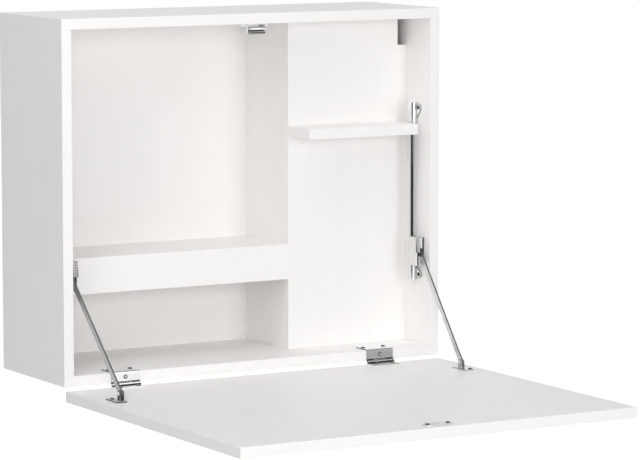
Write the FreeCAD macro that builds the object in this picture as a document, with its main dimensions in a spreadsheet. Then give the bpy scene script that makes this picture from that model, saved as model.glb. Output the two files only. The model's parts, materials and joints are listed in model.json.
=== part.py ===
"""Fold down wall desk: a board cabinet on a wall, closed by a flap that folds down into a desk top.

Frame: X runs along the wall, -Y points into the room, +Z up. The origin is on the wall plane, at the
middle of the wall fixings and half way up the cabinet. The flap is modelled open, which is the rest pose.
All sizes are in millimetres.
"""

import FreeCAD, Part
import math
import os
import re

import Sketcher

SIZES = {
    # cabinet
    "cabinet_width": 610,
    "cabinet_height": 510,
    "cabinet_depth": 200,
    "board": 15,
    "edge_round": 0.6,
    "back_thickness": 3,
    "back_inset": 5,
    "groove_depth": 4,
    "groove_play": 0.3,
    "compartment_width": 185,
    "cover_setback": 68,
    "notch_width": 15,
    "notch_height": 42,
    "shelf_level": 169.5,
    "apron_height": 51.5,
    "small_shelf_level": 341,
    "small_shelf_depth": 63,
    "small_shelf_gap": 18,
    # hidden joints of the boards
    "dowel_radius": 4,
    "dowel_length": 18,
    "dowel_end_play": 1,
    "joint_setback": 40,
    "confirmat_head_radius": 5,
    "confirmat_head_height": 4,
    "confirmat_radius": 3.5,
    "confirmat_length": 50,
    "cam_radius": 7.5,
    "cam_depth": 12.5,
    "cam_drop": 24,
    "cam_spacing": 50,
    "cam_bolt_radius": 3,
    "cam_bolt_depth": 9,
    "block_size": 15,
    "block_height": 30,
    "block_level": 120,
    "block_spacing": 260,
    # small pan-head screws
    "screw_head_radius": 3,
    "screw_head_height": 1.6,
    "screw_radius": 1.6,
    "screw_length": 12,
    "shelf_screw_length": 45,
    "recess_width": 0.8,
    "recess_depth": 0.9,
    # keyhole hanger plates
    "hanger_offset": 6.4,
    "hanger_inset": 55,
    "hanger_half_width": 5.5,
    "hanger_length": 52,
    "hanger_thickness": 1.5,
    "keyhole_radius": 4,
    "keyslot_radius": 2.2,
    "keyslot_rise": 12,
    "pocket_margin": 0.2,
    "pocket_depth": 9,
    "hanger_screw_inset": 6,
    "hanger_screw_head": 2.4,
    "hanger_screw_radius": 1.2,
    "hanger_screw_length": 14,
    # hinges
    "hinge_offset": 3,
    "hinge_drop": 1.7,
    "hinge_inset": 97.5,
    "hinge_shift": 3.4,
    "hinge_width": 44,
    "hinge_thickness": 1.2,
    "hinge_tab": 31,
    "hinge_leaf": 18,
    "knuckle_radius": 2.7,
    "knuckle_length": 11,
    "knuckle_gap": 0.3,
    "hinge_pin_radius": 1.4,
    "running_fit": 0.05,
    "barrel_clearance": 0.4,
    "hinge_screw_spacing": 34,
    "leaf_screw_spacing": 28,
    # flap
    "flap_thickness": 15,
    "flap_length": 502,
    # magnet catch and its strike plate
    "catch_width": 28,
    "catch_depth": 18.5,
    "catch_height": 15,
    "catch_wall": 2,
    "catch_ear": 8,
    "catch_ear_thickness": 4,
    "catch_ear_depth": 9,
    "pole_thickness": 1.5,
    "pole_gap": 3.9,
    "pole_reach": 4.6,
    "strike_width": 45,
    "strike_depth": 18,
    "strike_thickness": 1.2,
    "strike_screw_spacing": 31.5,
    "strike_inset": 20,
    # stays
    "rod_radius": 4,
    "rod_offset": 7,
    "rod_setback": 39,
    "rod_bottom": 110,
    "rod_length": 259,
    "cup_radius": 6,
    "cup_floor": 2,
    "lower_cup_height": 22.7,
    "upper_cup_height": 31,
    "ear_thickness": 2.5,
    "ear_radius": 8,
    "ear_screw_radius": 5,
    "ear_spacing": 12.5,
    "lower_ear_rise": 12,
    "lower_ear_turn": 194,
    "upper_ear_drop": 16,
    "upper_ear_turn": 141,
    "slider_gap": 0.3,
    "slider_height": 42,
    "slider_width": 13.5,
    "slider_clearance": 1,
    "slider_front": 5,
    "slot_half_width": 1.6,
    "slot_depth": 13,
    "brake_wall": 1.4,
    "brake_width": 4.6,
    "brake_depth": 6,
    "brake_setback": 0.5,
    "brake_rise": 14,
    "arm_offset": 5.5,
    "arm_crank": 10.2,
    "arm_foot": 20,
    "arm_neck": 50,
    "arm_half_width": 4,
    "arm_eye_radius": 5,
    "arm_thickness": 2.5,
    "arm_bush_radius": 2.5,
    "arm_bush_width": 2.9,
    "pivot_setback": 20,
    "pivot_level": 151.5,
    "pin_reach": 108.7,
    "pin_height": 10.2,
    "pin_radius": 2,
    "pin_head_radius": 3,
    "pin_head_height": 1,
    "bracket_width": 16.5,
    "bracket_front": 16,
    "bracket_rear": 22,
    "bracket_screw_offset": 7.5,
    "bracket_screw_reach": 11.5,
    "bracket_thickness": 1.5,
    "cheek_gap": 0.35,
    "cheek_thickness": 1.5,
    "cheek_radius": 4.5,
}

# Planes and places that several pieces share, written as formulas of the sizes.
WALL = "0"
FRONT = "(-cabinet_depth)"
LEFT = "(-cabinet_width/2)"
RIGHT = "(cabinet_width/2)"
BASE = "(-cabinet_height/2)"
ROOF = "(cabinet_height/2)"
INNER = f"({RIGHT} - board)"
DECK = f"({BASE} + board)"
CEILING = f"({ROOF} - board)"
BACK_REAR = "(-back_inset)"
BACK_FACE = f"({BACK_REAR} - back_thickness)"
COVER_FRONT = f"({FRONT} + cover_setback)"
COVER_BACK = f"({COVER_FRONT} + board)"
DIVIDER_RIGHT = f"({INNER} - compartment_width)"
DIVIDER = f"({DIVIDER_RIGHT} - board)"
SHELF_TOP = f"({BASE} + shelf_level)"
SHELF_BOTTOM = f"({SHELF_TOP} - board)"
SMALL_SHELF_TOP = f"({BASE} + small_shelf_level)"
SMALL_SHELF_END = f"({INNER} - small_shelf_gap)"
BOARD_MIDDLE = f"({INNER} + board/2)"
HANGER_X = f"({RIGHT} - hanger_offset)"
HINGE_X = f"({RIGHT} - hinge_inset)"
AXIS_Y = f"({FRONT} - hinge_offset)"
AXIS_Z = f"({BASE} - hinge_drop)"
FLAP_FACE = f"({AXIS_Z} - hinge_offset)"
FREE_EDGE = f"({AXIS_Y} - flap_length)"
STRIKE_Y = f"({FREE_EDGE} + strike_inset)"
ROD_X = f"({INNER} - rod_offset)"
ROD_Y = f"({FRONT} + rod_setback)"
ROD_BOTTOM = f"({BASE} + rod_bottom)"
ROD_TOP = f"({ROD_BOTTOM} + rod_length)"
LOWER_CUP = f"({ROD_BOTTOM} - cup_floor)"
SLIDER_BOTTOM = f"({LOWER_CUP} + lower_cup_height + slider_gap)"
SLIDER_TOP = f"({SLIDER_BOTTOM} + slider_height)"
ARM_X = f"({INNER} - arm_offset)"
PIN_X = f"({ARM_X} - arm_crank)"
PIVOT_Y = f"({FRONT} + pivot_setback)"
PIVOT_Z = f"({BASE} + pivot_level)"
PIN_Y = f"({AXIS_Y} - pin_reach)"
PIN_Z = f"({FLAP_FACE} + pin_height)"
ARM_LENGTH = f"(sqrt(({PIVOT_Y} - {PIN_Y})^2 + ({PIVOT_Z} - {PIN_Z})^2))"
ARM_TILT = f"atan2({PIVOT_Z} - {PIN_Z}; {PIVOT_Y} - {PIN_Y})"

SIDES = {"left": -1, "right": 1}
ROTATION = FreeCAD.Rotation
VECTOR = FreeCAD.Vector
TURNS = {
    "x": ROTATION(VECTOR(0, 1, 0), 90),
    "-x": ROTATION(VECTOR(0, 1, 0), -90),
    "y": ROTATION(VECTOR(1, 0, 0), -90),
    "-y": ROTATION(VECTOR(1, 0, 0), 90),
    "z": ROTATION(),
    "-z": ROTATION(VECTOR(1, 0, 0), 180),
}

doc = FreeCAD.newDocument("wall_desk")
sheet = doc.addObject("Spreadsheet::Sheet", "Sizes")
nodes = {}


# ---------------------------------------------------------------- sheet and helpers

def fill_sheet():
    """Writes each size as a number with an alias."""
    for row, (alias, number) in enumerate(SIZES.items(), start=1):
        sheet.set(f"A{row}", alias)
        sheet.set(f"B{row}", str(number))
        sheet.setAlias(f"B{row}", alias)
    doc.recompute()


def formula(text):
    """Turns the size names of a formula into references to the sheet."""
    def reference(match):
        word = match.group()
        return f"Sizes.{word}" if word in SIZES else word

    return re.sub(r"[a-z_]+\w*", reference, str(text))


def bind(thing, **formulas):
    """Binds properties of an object to formulas of the sizes."""
    for name, text in formulas.items():
        thing.setExpression(name, formula(text))


def number(text):
    """The present value of a formula."""
    result = sheet.evalExpression(formula(text))
    return getattr(result, "Value", result)


def place(thing, at, turn="z"):
    """Turns an object and binds its base point."""
    thing.Placement = FreeCAD.Placement(VECTOR(), TURNS[turn])
    for axis, text in zip("xyz", at):
        thing.setExpression(f"Placement.Base.{axis}", formula(text))
    return thing


def node(label, thing):
    """Registers an object as a sub-part: its label names the node and its file."""
    thing.Label = label
    nodes[label] = thing
    return thing


def box(low, high):
    """A box between two corners."""
    thing = doc.addObject("Part::Box", "Box")
    spans = [f"({b}) - ({a})" for a, b in zip(low, high)]
    bind(thing, Length=spans[0], Width=spans[1], Height=spans[2])
    return place(thing, low)


def sided(side, low, high):
    """A box given for the right side, put on the side that the sign names."""
    if side > 0:
        return box(low, high)
    return box((f"-({high[0]})", *low[1:]), (f"-({low[0]})", *high[1:]))


def cylinder(at, turn, radius, length):
    """A cylinder that starts at a point and runs along an axis."""
    thing = doc.addObject("Part::Cylinder", "Cylinder")
    bind(thing, Radius=radius, Height=length)
    return place(thing, at, turn)


def centred_cylinder(at, axis, radius, length):
    """A cylinder whose middle is at a point."""
    start = [f"({c}) - ({length})/2" if name == axis else c for name, c in zip("xyz", at)]
    return cylinder(start, axis, radius, length)


def fuse(*things):
    """The union of several solids."""
    thing = doc.addObject("Part::MultiFuse", "Fuse")
    thing.Shapes = list(things)
    return thing


def group(*things):
    """Separate solids of one node."""
    thing = doc.addObject("Part::Compound", "Group")
    thing.Links = list(things)
    return thing


def cut(base, *tools):
    """The base with each tool cut out of it in turn."""
    for tool in tools:
        thing = doc.addObject("Part::Cut", "Cut")
        thing.Base = base
        thing.Tool = tool
        base = thing
    return base


def board(low, high):
    """A board with softened edges between two corners."""
    body = doc.addObject("PartDesign::Body", "Board")
    blank = body.newObject("PartDesign::AdditiveBox", "Blank")
    spans = [f"({b}) - ({a})" for a, b in zip(low, high)]
    bind(blank, Length=spans[0], Width=spans[1], Height=spans[2])
    rounding = body.newObject("PartDesign::Fillet", "Rounding")
    rounding.Base = (blank, [""])
    rounding.UseAllEdges = True
    bind(rounding, Radius="edge_round")
    return place(body, low)


def link_plate(role, radius_a, radius_b, spacing, thickness):
    """A flat plate round two centres, with common tangents for its straight edges.

    The first centre is the body's origin and the second lies along the sketch's first axis.
    """
    body = doc.addObject("PartDesign::Body", "Plate")
    plane = next(f for f in body.Origin.OriginFeatures if f.Role == role)
    sketch = body.newObject("Sketcher::SketchObject", "Outline")
    sketch.AttachmentSupport = [(plane, "")]
    sketch.MapMode = "FlatFace"
    small, large, span = number(radius_b), number(radius_a), number(spacing)
    tilt = math.acos((large - small) / span)
    normal = VECTOR(0, 0, 1)

    def rim(centre, radius, angle):
        return VECTOR(centre + radius * math.cos(angle), radius * math.sin(angle), 0)

    first = Part.Circle(VECTOR(), normal, large)
    second = Part.Circle(VECTOR(span, 0, 0), normal, small)
    sketch.addGeometry([
        Part.ArcOfCircle(first, tilt, 2 * math.pi - tilt),
        Part.LineSegment(rim(0, large, -tilt), rim(span, small, -tilt)),
        Part.ArcOfCircle(second, -tilt, tilt),
        Part.LineSegment(rim(span, small, tilt), rim(0, large, tilt)),
    ], False)
    start, end, centre, origin, axis = 1, 2, 3, -1, -1
    for one, other in ((0, 1), (1, 2), (2, 3), (3, 0)):
        sketch.addConstraint(Sketcher.Constraint("Tangent", one, end, other, start))
    sketch.addConstraint(Sketcher.Constraint("Coincident", 0, centre, origin, start))
    sketch.addConstraint(Sketcher.Constraint("PointOnObject", 2, centre, axis))
    named = {
        "spacing": (Sketcher.Constraint("DistanceX", origin, start, 2, centre, span), spacing),
        "radius_a": (Sketcher.Constraint("Radius", 0, large), radius_a),
        "radius_b": (Sketcher.Constraint("Radius", 2, small), radius_b),
    }
    for name, (constraint, text) in named.items():
        sketch.renameConstraint(sketch.addConstraint(constraint), name)
        sketch.setExpression(f"Constraints.{name}", formula(text))
    pad = body.newObject("PartDesign::Pad", "Thickness")
    pad.Profile = sketch
    bind(pad, Length=thickness)
    return body


def screw(at, turn, head_radius="screw_head_radius", head_height="screw_head_height",
          radius="screw_radius", length="screw_length"):
    """A pan-head screw with a cross recess: the head's underside is at the point, the shank runs on."""
    crown = doc.addObject("Part::Cone", "Head")
    bind(crown, Radius1=f"{head_radius}*0.7", Radius2=head_radius, Height=head_height)
    place(crown, ("0", "0", f"-{head_height}"))
    shank = cylinder(("0", "0", "0"), "z", radius, length)
    arm = f"{head_radius}*0.6"
    slots = [
        box((f"-{a}", f"-{b}", f"-{head_height}"), (a, b, f"recess_depth - {head_height}"))
        for a, b in ((arm, "recess_width/2"), ("recess_width/2", arm))
    ]
    return place(cut(fuse(crown, shank), fuse(*slots)), at, turn)


def countersunk(at, turn, head_radius, head_height, radius, length):
    """A countersunk screw: the head's top is at the point and the cone narrows to the shank."""
    crown = doc.addObject("Part::Cone", "Head")
    bind(crown, Radius1=head_radius, Radius2=radius, Height=head_height)
    shank = cylinder(("0", "0", "0"), "z", radius, length)
    return place(fuse(crown, shank), at, turn)


# ---------------------------------------------------------------- cabinet

def dowels():
    """Wooden dowels, and the slightly longer bores that they share in both boards."""
    front_row = f"({FRONT} + joint_setback)"
    middle = f"({DIVIDER} + board/2)"
    shelf_mid = f"({SHELF_TOP} - board/2)"
    cover_mid = f"({COVER_BACK} + board/2)"
    places = [((f"{sign}*{BOARD_MIDDLE}", front_row, level), "z") for sign in SIDES.values()
              for level in (DECK, CEILING)]
    places += [((middle, f"{COVER_BACK}/2", CEILING), "z")]
    places += [((f"-{INNER}", f"{COVER_BACK}*{share}", shelf_mid), "x") for share in ("0.25", "0.75")]
    places += [((DIVIDER, f"{COVER_BACK}*0.6", shelf_mid), "x")]
    places += [((f"{DIVIDER} - (cabinet_width/2 + {DIVIDER} - board)*{share}", COVER_BACK, shelf_mid), "y")
               for share in ("0.15", "0.5", "0.85")]
    places += [((middle, COVER_BACK, f"cabinet_height*{share}"), "y") for share in ("-0.35", "0", "0.35")]
    pegs = group(*[centred_cylinder(at, axis, "dowel_radius", "dowel_length") for at, axis in places])
    bores = fuse(*[
        centred_cylinder(at, axis, "dowel_radius", "dowel_length + 2*dowel_end_play") for at, axis in places
    ])
    node("wood_dowels", pegs)
    return bores


def base_screws():
    """Connecting screws from below into the sides and the divider."""
    rows = (f"{COVER_BACK}/2", f"{COVER_BACK}*1.1")
    spots = [(f"{sign}*{BOARD_MIDDLE}", y) for sign in SIDES.values() for y in rows]
    spots += [(f"{DIVIDER} + board/2", f"{COVER_BACK}*{share}") for share in ("0.35", "0.75")]
    return node("connecting_screws", group(*[
        countersunk((x, y, BASE), "z", "confirmat_head_radius", "confirmat_head_height",
                    "confirmat_radius", "confirmat_length") for x, y in spots
    ]))


def cams():
    """Cam housings in the sides and the bolts that they pull down from the top panel."""
    spots = [(sign, f"(-joint_setback - cam_spacing*{step})") for sign in SIDES.values() for step in (0, 1)]
    height = f"({CEILING} - cam_drop)"
    bolts = node("cam_bolts", group(*[
        cylinder((f"{sign}*{BOARD_MIDDLE}", y, height), "z", "cam_bolt_radius", "cam_drop + cam_bolt_depth")
        for sign, y in spots
    ]))
    drums = group(*[
        cylinder((f"{sign}*{INNER}", y, height), "x" if sign > 0 else "-x", "cam_radius", "cam_depth")
        for sign, y in spots
    ])
    housings = node("cam_housings", cut(drums, bolts))
    return bolts, housings, drums


def hangers():
    """Keyhole plates let into the rear edges of the sides, with their screws and the pockets behind them."""
    plates, screws, pockets = [], [], []
    for sign in SIDES.values():
        for end in (-1, 1):
            x = f"{sign}*{HANGER_X}"
            z = f"({end}*({ROOF} - hanger_inset))"
            low = f"({z} + keyslot_rise/2 - hanger_length/2)"
            high = f"({low} + hanger_length)"
            plate = box((f"{x} - hanger_half_width", "-hanger_thickness", low),
                        (f"{x} + hanger_half_width", WALL, high))
            keyhole = fuse(
                cylinder((x, WALL, z), "-y", "keyhole_radius", "hanger_thickness"),
                cylinder((x, WALL, f"{z} + keyslot_rise"), "-y", "keyslot_radius", "hanger_thickness"),
                box((f"{x} - keyslot_radius", "-hanger_thickness", z),
                    (f"{x} + keyslot_radius", WALL, f"{z} + keyslot_rise")),
            )
            pair = [countersunk((x, WALL, level), "-y", "hanger_screw_head", "hanger_thickness",
                                "hanger_screw_radius", "hanger_screw_length")
                    for level in (f"{low} + hanger_screw_inset", f"{high} - hanger_screw_inset")]
            half = "(keyhole_radius + pocket_margin)"
            pocket = box((f"{x} - {half}", "-hanger_thickness - pocket_depth", f"{z} - {half}"),
                         (f"{x} + {half}", "-hanger_thickness", f"{z} + keyslot_rise + {half}"))
            screws += pair
            plates.append(cut(plate, keyhole, *pair))
            pockets += [pocket, plate]
    node("hanger_plates", group(*plates))
    return fuse(*pockets), node("hanger_screws", group(*screws))


def corner_blocks():
    """Plastic blocks that hold the cover panel to the right side, with their screws."""
    blocks, screws = [], []
    for step in (0, 1):
        low = f"({BASE} + block_level + block_spacing*{step})"
        high = f"({low} + block_height)"
        block = box((f"{INNER} - block_size", COVER_BACK, low), (INNER, f"{COVER_BACK} + block_size", high))
        centre = (f"{INNER} - block_size/2", f"{COVER_BACK} + block_size/2")
        outward = screw((*centre, f"{low} + block_height/4"), "x")
        forward = screw((*centre, f"{high} - block_height/4"), "-y")
        screws += [outward, forward]
        blocks.append(cut(block, outward, forward))
    node("corner_blocks", group(*blocks))
    return node("corner_block_screws", group(*screws))


def shelf_screws():
    """Long screws from behind the cover panel into the small shelf."""
    level = f"{SMALL_SHELF_TOP} - board/2"
    span = f"({SMALL_SHELF_END} - {DIVIDER})"
    return node("small_shelf_screws", group(*[
        screw((f"{DIVIDER} + {span}*{share}", COVER_BACK, level), "-y", length="shelf_screw_length")
        for share in ("0.2", "0.8")
    ]))


def cabinet():
    """The boards, grooved for the back panel and bored for everything that holds them."""
    edge = f"({INNER} + groove_depth)"
    slot = (f"-{edge}", BACK_FACE, f"{DECK} - groove_depth"), (edge, BACK_REAR, f"{CEILING} + groove_depth")
    groove = box(*slot)
    play = "groove_play"
    back = box((f"{slot[0][0]} + {play}", BACK_FACE, f"{slot[0][2]} + {play}"),
               (f"{edge} - {play}", BACK_REAR, f"{slot[1][2]} - {play}"))
    node("back_panel", back)
    bores = dowels()
    upward = base_screws()
    bolts, _, drums = cams()
    pockets, hanger_screws = hangers()
    block_screws = corner_blocks()
    long_screws = shelf_screws()
    catch_screws = magnet_catch()
    plate_screws = hinge_plates()
    rod_screws = rod_brackets()

    top = board((LEFT, FRONT, CEILING), (RIGHT, WALL, ROOF))
    node("top_panel", cut(top, groove, bores, bolts, catch_screws))
    bottom = board((LEFT, FRONT, BASE), (RIGHT, WALL, DECK))
    node("bottom_panel", cut(bottom, groove, bores, upward, plate_screws))
    for name, sign in SIDES.items():
        low, high = (INNER, RIGHT) if sign > 0 else (LEFT, f"-{INNER}")
        side = board((low, FRONT, DECK), (high, WALL, CEILING))
        node(f"{name}_side", cut(side, groove, bores, upward, bolts, drums, pockets, hanger_screws,
                                 rod_screws, *([block_screws] if sign > 0 else [])))
    upright = board((DIVIDER, COVER_BACK, DECK), (DIVIDER_RIGHT, BACK_FACE, CEILING))
    node("divider", cut(upright, bores, upward))
    shelf = board((f"-{INNER}", COVER_BACK, SHELF_BOTTOM), (DIVIDER, BACK_FACE, SHELF_TOP))
    node("compartment_shelf", cut(shelf, bores))
    apron = board((f"-{INNER}", COVER_FRONT, f"{SHELF_TOP} - apron_height"), (DIVIDER, COVER_BACK, SHELF_TOP))
    node("shelf_apron", cut(apron, bores))
    cover = board((DIVIDER, COVER_FRONT, DECK), (INNER, COVER_BACK, CEILING))
    notch = box((f"{INNER} - notch_width", COVER_FRONT, f"{CEILING} - notch_height"),
                (INNER, COVER_BACK, CEILING))
    node("cover_panel", cut(cover, notch, bores, block_screws, long_screws))
    ledge = board((DIVIDER, f"{COVER_FRONT} - small_shelf_depth", f"{SMALL_SHELF_TOP} - board"),
                  (SMALL_SHELF_END, COVER_FRONT, SMALL_SHELF_TOP))
    node("small_shelf", cut(ledge, long_screws))


def magnet_catch():
    """The catch under the top panel: a body with ears, two pole plates and the magnet between them."""
    half = "catch_width/2"
    rear = f"({FRONT} + catch_depth)"
    floor = f"({CEILING} - catch_height)"
    shell = box((f"-{half}", FRONT, floor), (half, rear, CEILING))
    ear_front = f"({FRONT} + (catch_depth - catch_ear_depth)/2)"
    ears = box((f"-{half} - catch_ear", ear_front, f"{CEILING} - catch_ear_thickness"),
               (f"{half} + catch_ear", f"{ear_front} + catch_ear_depth", CEILING))
    low = f"({floor} + catch_wall)"
    reach = "(catch_width/2 - catch_wall)"
    far = f"({rear} - catch_wall)"
    magnet_front = f"({FRONT} + catch_wall)"
    levels = (low, f"({low} + pole_thickness + pole_gap)")
    chamber = box((f"-{reach}", magnet_front, low), (reach, far, f"{low} + 2*pole_thickness + pole_gap"))
    slots = [box((f"-{reach}", FRONT, z), (reach, magnet_front, f"{z} + pole_thickness")) for z in levels]
    screws = node("catch_screws", group(*[
        screw((f"{sign}*({half} + catch_ear/2)", f"{ear_front} + catch_ear_depth/2",
               f"{CEILING} - catch_ear_thickness"), "z") for sign in SIDES.values()
    ]))
    node("catch_body", cut(fuse(shell, ears), chamber, *slots, screws))
    tip = f"({FRONT} - pole_reach)"
    node("catch_pole_plates", group(*[
        box((f"-{reach}", tip, z), (reach, far, f"{z} + pole_thickness")) for z in levels
    ]))
    node("catch_magnet", box((f"-{reach}", magnet_front, f"{low} + pole_thickness"),
                             (reach, far, f"{low} + pole_thickness + pole_gap")))
    return screws


# ---------------------------------------------------------------- hinges

def hinge_plates():
    """The cabinet halves of the hinges: a plate round the bottom panel's front edge, knuckles and pin."""
    all_screws = []
    for name, sign in SIDES.items():
        x = f"({sign}*{HINGE_X} - hinge_shift)"
        left, right = f"({x} - hinge_width/2)", f"({x} + hinge_width/2)"
        skin = f"({FRONT} - hinge_thickness)"
        apron = box((left, skin, AXIS_Z), (right, FRONT, f"{DECK} + hinge_thickness"))
        tab = box((left, skin, DECK), (right, f"{FRONT} + hinge_tab", f"{DECK} + hinge_thickness"))
        outer = [cylinder((left, AXIS_Y, AXIS_Z), "x", "knuckle_radius", "knuckle_length"),
                 cylinder((right, AXIS_Y, AXIS_Z), "-x", "knuckle_radius", "knuckle_length")]
        gap = box((f"{left} + knuckle_length", skin, AXIS_Z),
                  (f"{right} - knuckle_length", FRONT, f"{AXIS_Z} + knuckle_radius + barrel_clearance"))
        pin = cylinder((left, AXIS_Y, AXIS_Z), "x", "hinge_pin_radius", "hinge_width")
        node(f"hinge_pin_{name}", pin)
        top = f"({DECK} + hinge_thickness)"
        screws = [screw((f"{x} + {end}*hinge_screw_spacing/2", f"{FRONT} + hinge_tab*0.6", top), "-z")
                  for end in (-1, 1)]
        screws.append(screw((x, skin, f"{BASE} + board*0.57"), "y"))
        all_screws += screws
        node(f"hinge_plate_{name}", cut(fuse(apron, tab, *outer), gap, pin, *screws))
    return node("hinge_plate_screws", group(*all_screws))


def hinge_leaves():
    """The flap halves of the hinges: the middle knuckle and a leaf on the flap's face."""
    all_screws = []
    for name, sign in SIDES.items():
        x = f"({sign}*{HINGE_X} - hinge_shift)"
        left, right = f"({x} - hinge_width/2)", f"({x} + hinge_width/2)"
        inner_left = f"({left} + knuckle_length + knuckle_gap)"
        inner_right = f"({right} - knuckle_length - knuckle_gap)"
        face = f"({FLAP_FACE} + hinge_thickness)"
        shoulder = f"({AXIS_Y} - knuckle_radius - barrel_clearance)"
        leaf = box((left, f"{AXIS_Y} - hinge_leaf", FLAP_FACE), (right, shoulder, face))
        tongue = box((inner_left, shoulder, FLAP_FACE), (inner_right, AXIS_Y, face))
        barrel = cylinder((inner_left, AXIS_Y, AXIS_Z), "x", "knuckle_radius",
                          f"{inner_right} - {inner_left}")
        bore = cylinder((left, AXIS_Y, AXIS_Z), "x", "hinge_pin_radius + running_fit", "hinge_width")
        screws = [screw((f"{x} + {end}*leaf_screw_spacing/2", f"{AXIS_Y} - hinge_leaf*0.6", face), "-z")
                  for end in (-1, 1)]
        all_screws += screws
        node(f"hinge_leaf_{name}", cut(fuse(leaf, tongue, barrel), bore, *screws))
    return node("hinge_leaf_screws", group(*all_screws))


# ---------------------------------------------------------------- stays

def rod_bracket(sign, cup_low, cup_height, bore_low, ear_z, turn):
    """A cup round one end of the guide rod with a teardrop ear on the side, and the ear's screw."""
    x = f"{sign}*{ROD_X}"
    cup = cylinder((x, ROD_Y, cup_low), "z", "cup_radius", cup_height)
    bore = cylinder((x, ROD_Y, bore_low), "z", "rod_radius", f"{cup_height} - cup_floor")
    ear = link_plate("YZ_Plane", "ear_radius", "ear_screw_radius", "ear_spacing", "ear_thickness")
    inner_face = f"({INNER} - ear_thickness)" if sign > 0 else f"(-{INNER})"
    place(ear, (inner_face, ROD_Y, ear_z))
    ear.Placement = FreeCAD.Placement(ear.Placement.Base, ROTATION(VECTOR(1, 0, 0), number(turn)))
    ear.setExpression("Placement.Rotation.Angle", formula(turn))
    head = (f"{sign}*({INNER} - ear_thickness)", f"{ROD_Y} + ear_spacing*cos({turn}*1deg)",
            f"{ear_z} + ear_spacing*sin({turn}*1deg)")
    fixing = screw(head, "x" if sign > 0 else "-x")
    return cut(fuse(cup, ear), bore, fixing), fixing


def rod_brackets():
    """Guide rods and the brackets at their ends."""
    screws = []
    for name, sign in SIDES.items():
        rod = cylinder((f"{sign}*{ROD_X}", ROD_Y, ROD_BOTTOM), "z", "rod_radius", "rod_length")
        node(f"guide_rod_{name}", rod)
        lower, low_screw = rod_bracket(sign, LOWER_CUP, "lower_cup_height", ROD_BOTTOM,
                                       f"({LOWER_CUP} + lower_ear_rise)", "lower_ear_turn")
        upper_cup = f"({ROD_TOP} + cup_floor - upper_cup_height)"
        upper, top_screw = rod_bracket(sign, upper_cup, "upper_cup_height", upper_cup,
                                       f"({ROD_TOP} + cup_floor - upper_ear_drop)", "upper_ear_turn")
        node(f"rod_lower_bracket_{name}", lower)
        node(f"rod_upper_bracket_{name}", upper)
        screws += [low_screw, top_screw]
    return node("rod_bracket_screws", group(*screws))


def slider(name, sign):
    """The slider: a housing on the rod with a slot for the arm and a channel for the brake insert."""
    outer = f"({INNER} - slider_clearance)"
    inner = f"({outer} - slider_width)"
    nose = f"({PIVOT_Y} - slider_front)"
    hub = cylinder((f"{sign}*{ROD_X}", ROD_Y, SLIDER_BOTTOM), "z", "cup_radius", "slider_height")
    block = sided(sign, (inner, nose, SLIDER_BOTTOM), (outer, ROD_Y, SLIDER_TOP))
    bore = cylinder((f"{sign}*{ROD_X}", ROD_Y, SLIDER_BOTTOM), "z", "rod_radius + running_fit",
                    "slider_height")
    slot_low, slot_high = f"({ARM_X} - slot_half_width)", f"({ARM_X} + slot_half_width)"
    slot = sided(sign, (slot_low, nose, SLIDER_BOTTOM), (slot_high, f"({nose} + slot_depth)", SLIDER_TOP))
    brake_high = f"({slot_low} - brake_wall)"
    brake_low = f"({brake_high} - brake_width)"
    brake_end = f"({nose} + brake_depth)"
    channel = sided(sign, (brake_low, nose, SLIDER_BOTTOM), (brake_high, brake_end, SLIDER_TOP))
    node(f"slider_housing_{name}", cut(fuse(hub, block), bore, slot, channel))
    insert = sided(sign, (brake_low, f"({nose} + brake_setback)", f"({SLIDER_BOTTOM} + brake_rise)"),
                   (brake_high, brake_end, SLIDER_TOP))
    node(f"brake_insert_{name}", insert)


def stay_arm(name, sign):
    """The flat arm, cranked inward between its two eyes, and the bush in its upper eye.

    It is built lying along Y from the lower eye, then turned up to the slope between pin and pivot.
    """
    half = "arm_thickness/2"
    crank = f"{sign}*arm_crank"
    knee = f"({ARM_LENGTH} - arm_neck)"
    slope = doc.addObject("Part::Wedge", "Crank")
    bind(slope, Xmin=f"-{half}", Xmax=half, X2min=f"{crank} - {half}", X2max=f"{crank} + {half}",
         Ymin="arm_foot", Ymax=knee, Zmin="-arm_half_width", Zmax="arm_half_width",
         Z2min="-arm_half_width", Z2max="arm_half_width")
    foot = box((f"-{half}", "0", "-arm_half_width"), (half, "arm_foot", "arm_half_width"))
    neck = box((f"{crank} - {half}", knee, "-arm_half_width"),
               (f"{crank} + {half}", ARM_LENGTH, "arm_half_width"))
    eyes = [centred_cylinder((x, y, "0"), "x", "arm_eye_radius", "arm_thickness")
            for x, y in (("0", "0"), (crank, ARM_LENGTH))]
    blank = fuse(slope, foot, neck, *eyes)
    place(blank, (f"{sign}*{PIN_X}", PIN_Y, PIN_Z))
    blank.Placement = FreeCAD.Placement(blank.Placement.Base, ROTATION(VECTOR(1, 0, 0), number(ARM_TILT)))
    blank.setExpression("Placement.Rotation.Angle", formula(ARM_TILT))
    pin_bore = centred_cylinder((f"{sign}*{PIN_X}", PIN_Y, PIN_Z), "x", "pin_radius + running_fit",
                                "arm_thickness")
    bush = centred_cylinder((f"{sign}*{ARM_X}", PIVOT_Y, PIVOT_Z), "x", "arm_bush_radius", "arm_bush_width")
    node(f"arm_bush_{name}", bush)
    node(f"stay_arm_{name}", cut(blank, pin_bore, bush))


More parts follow.
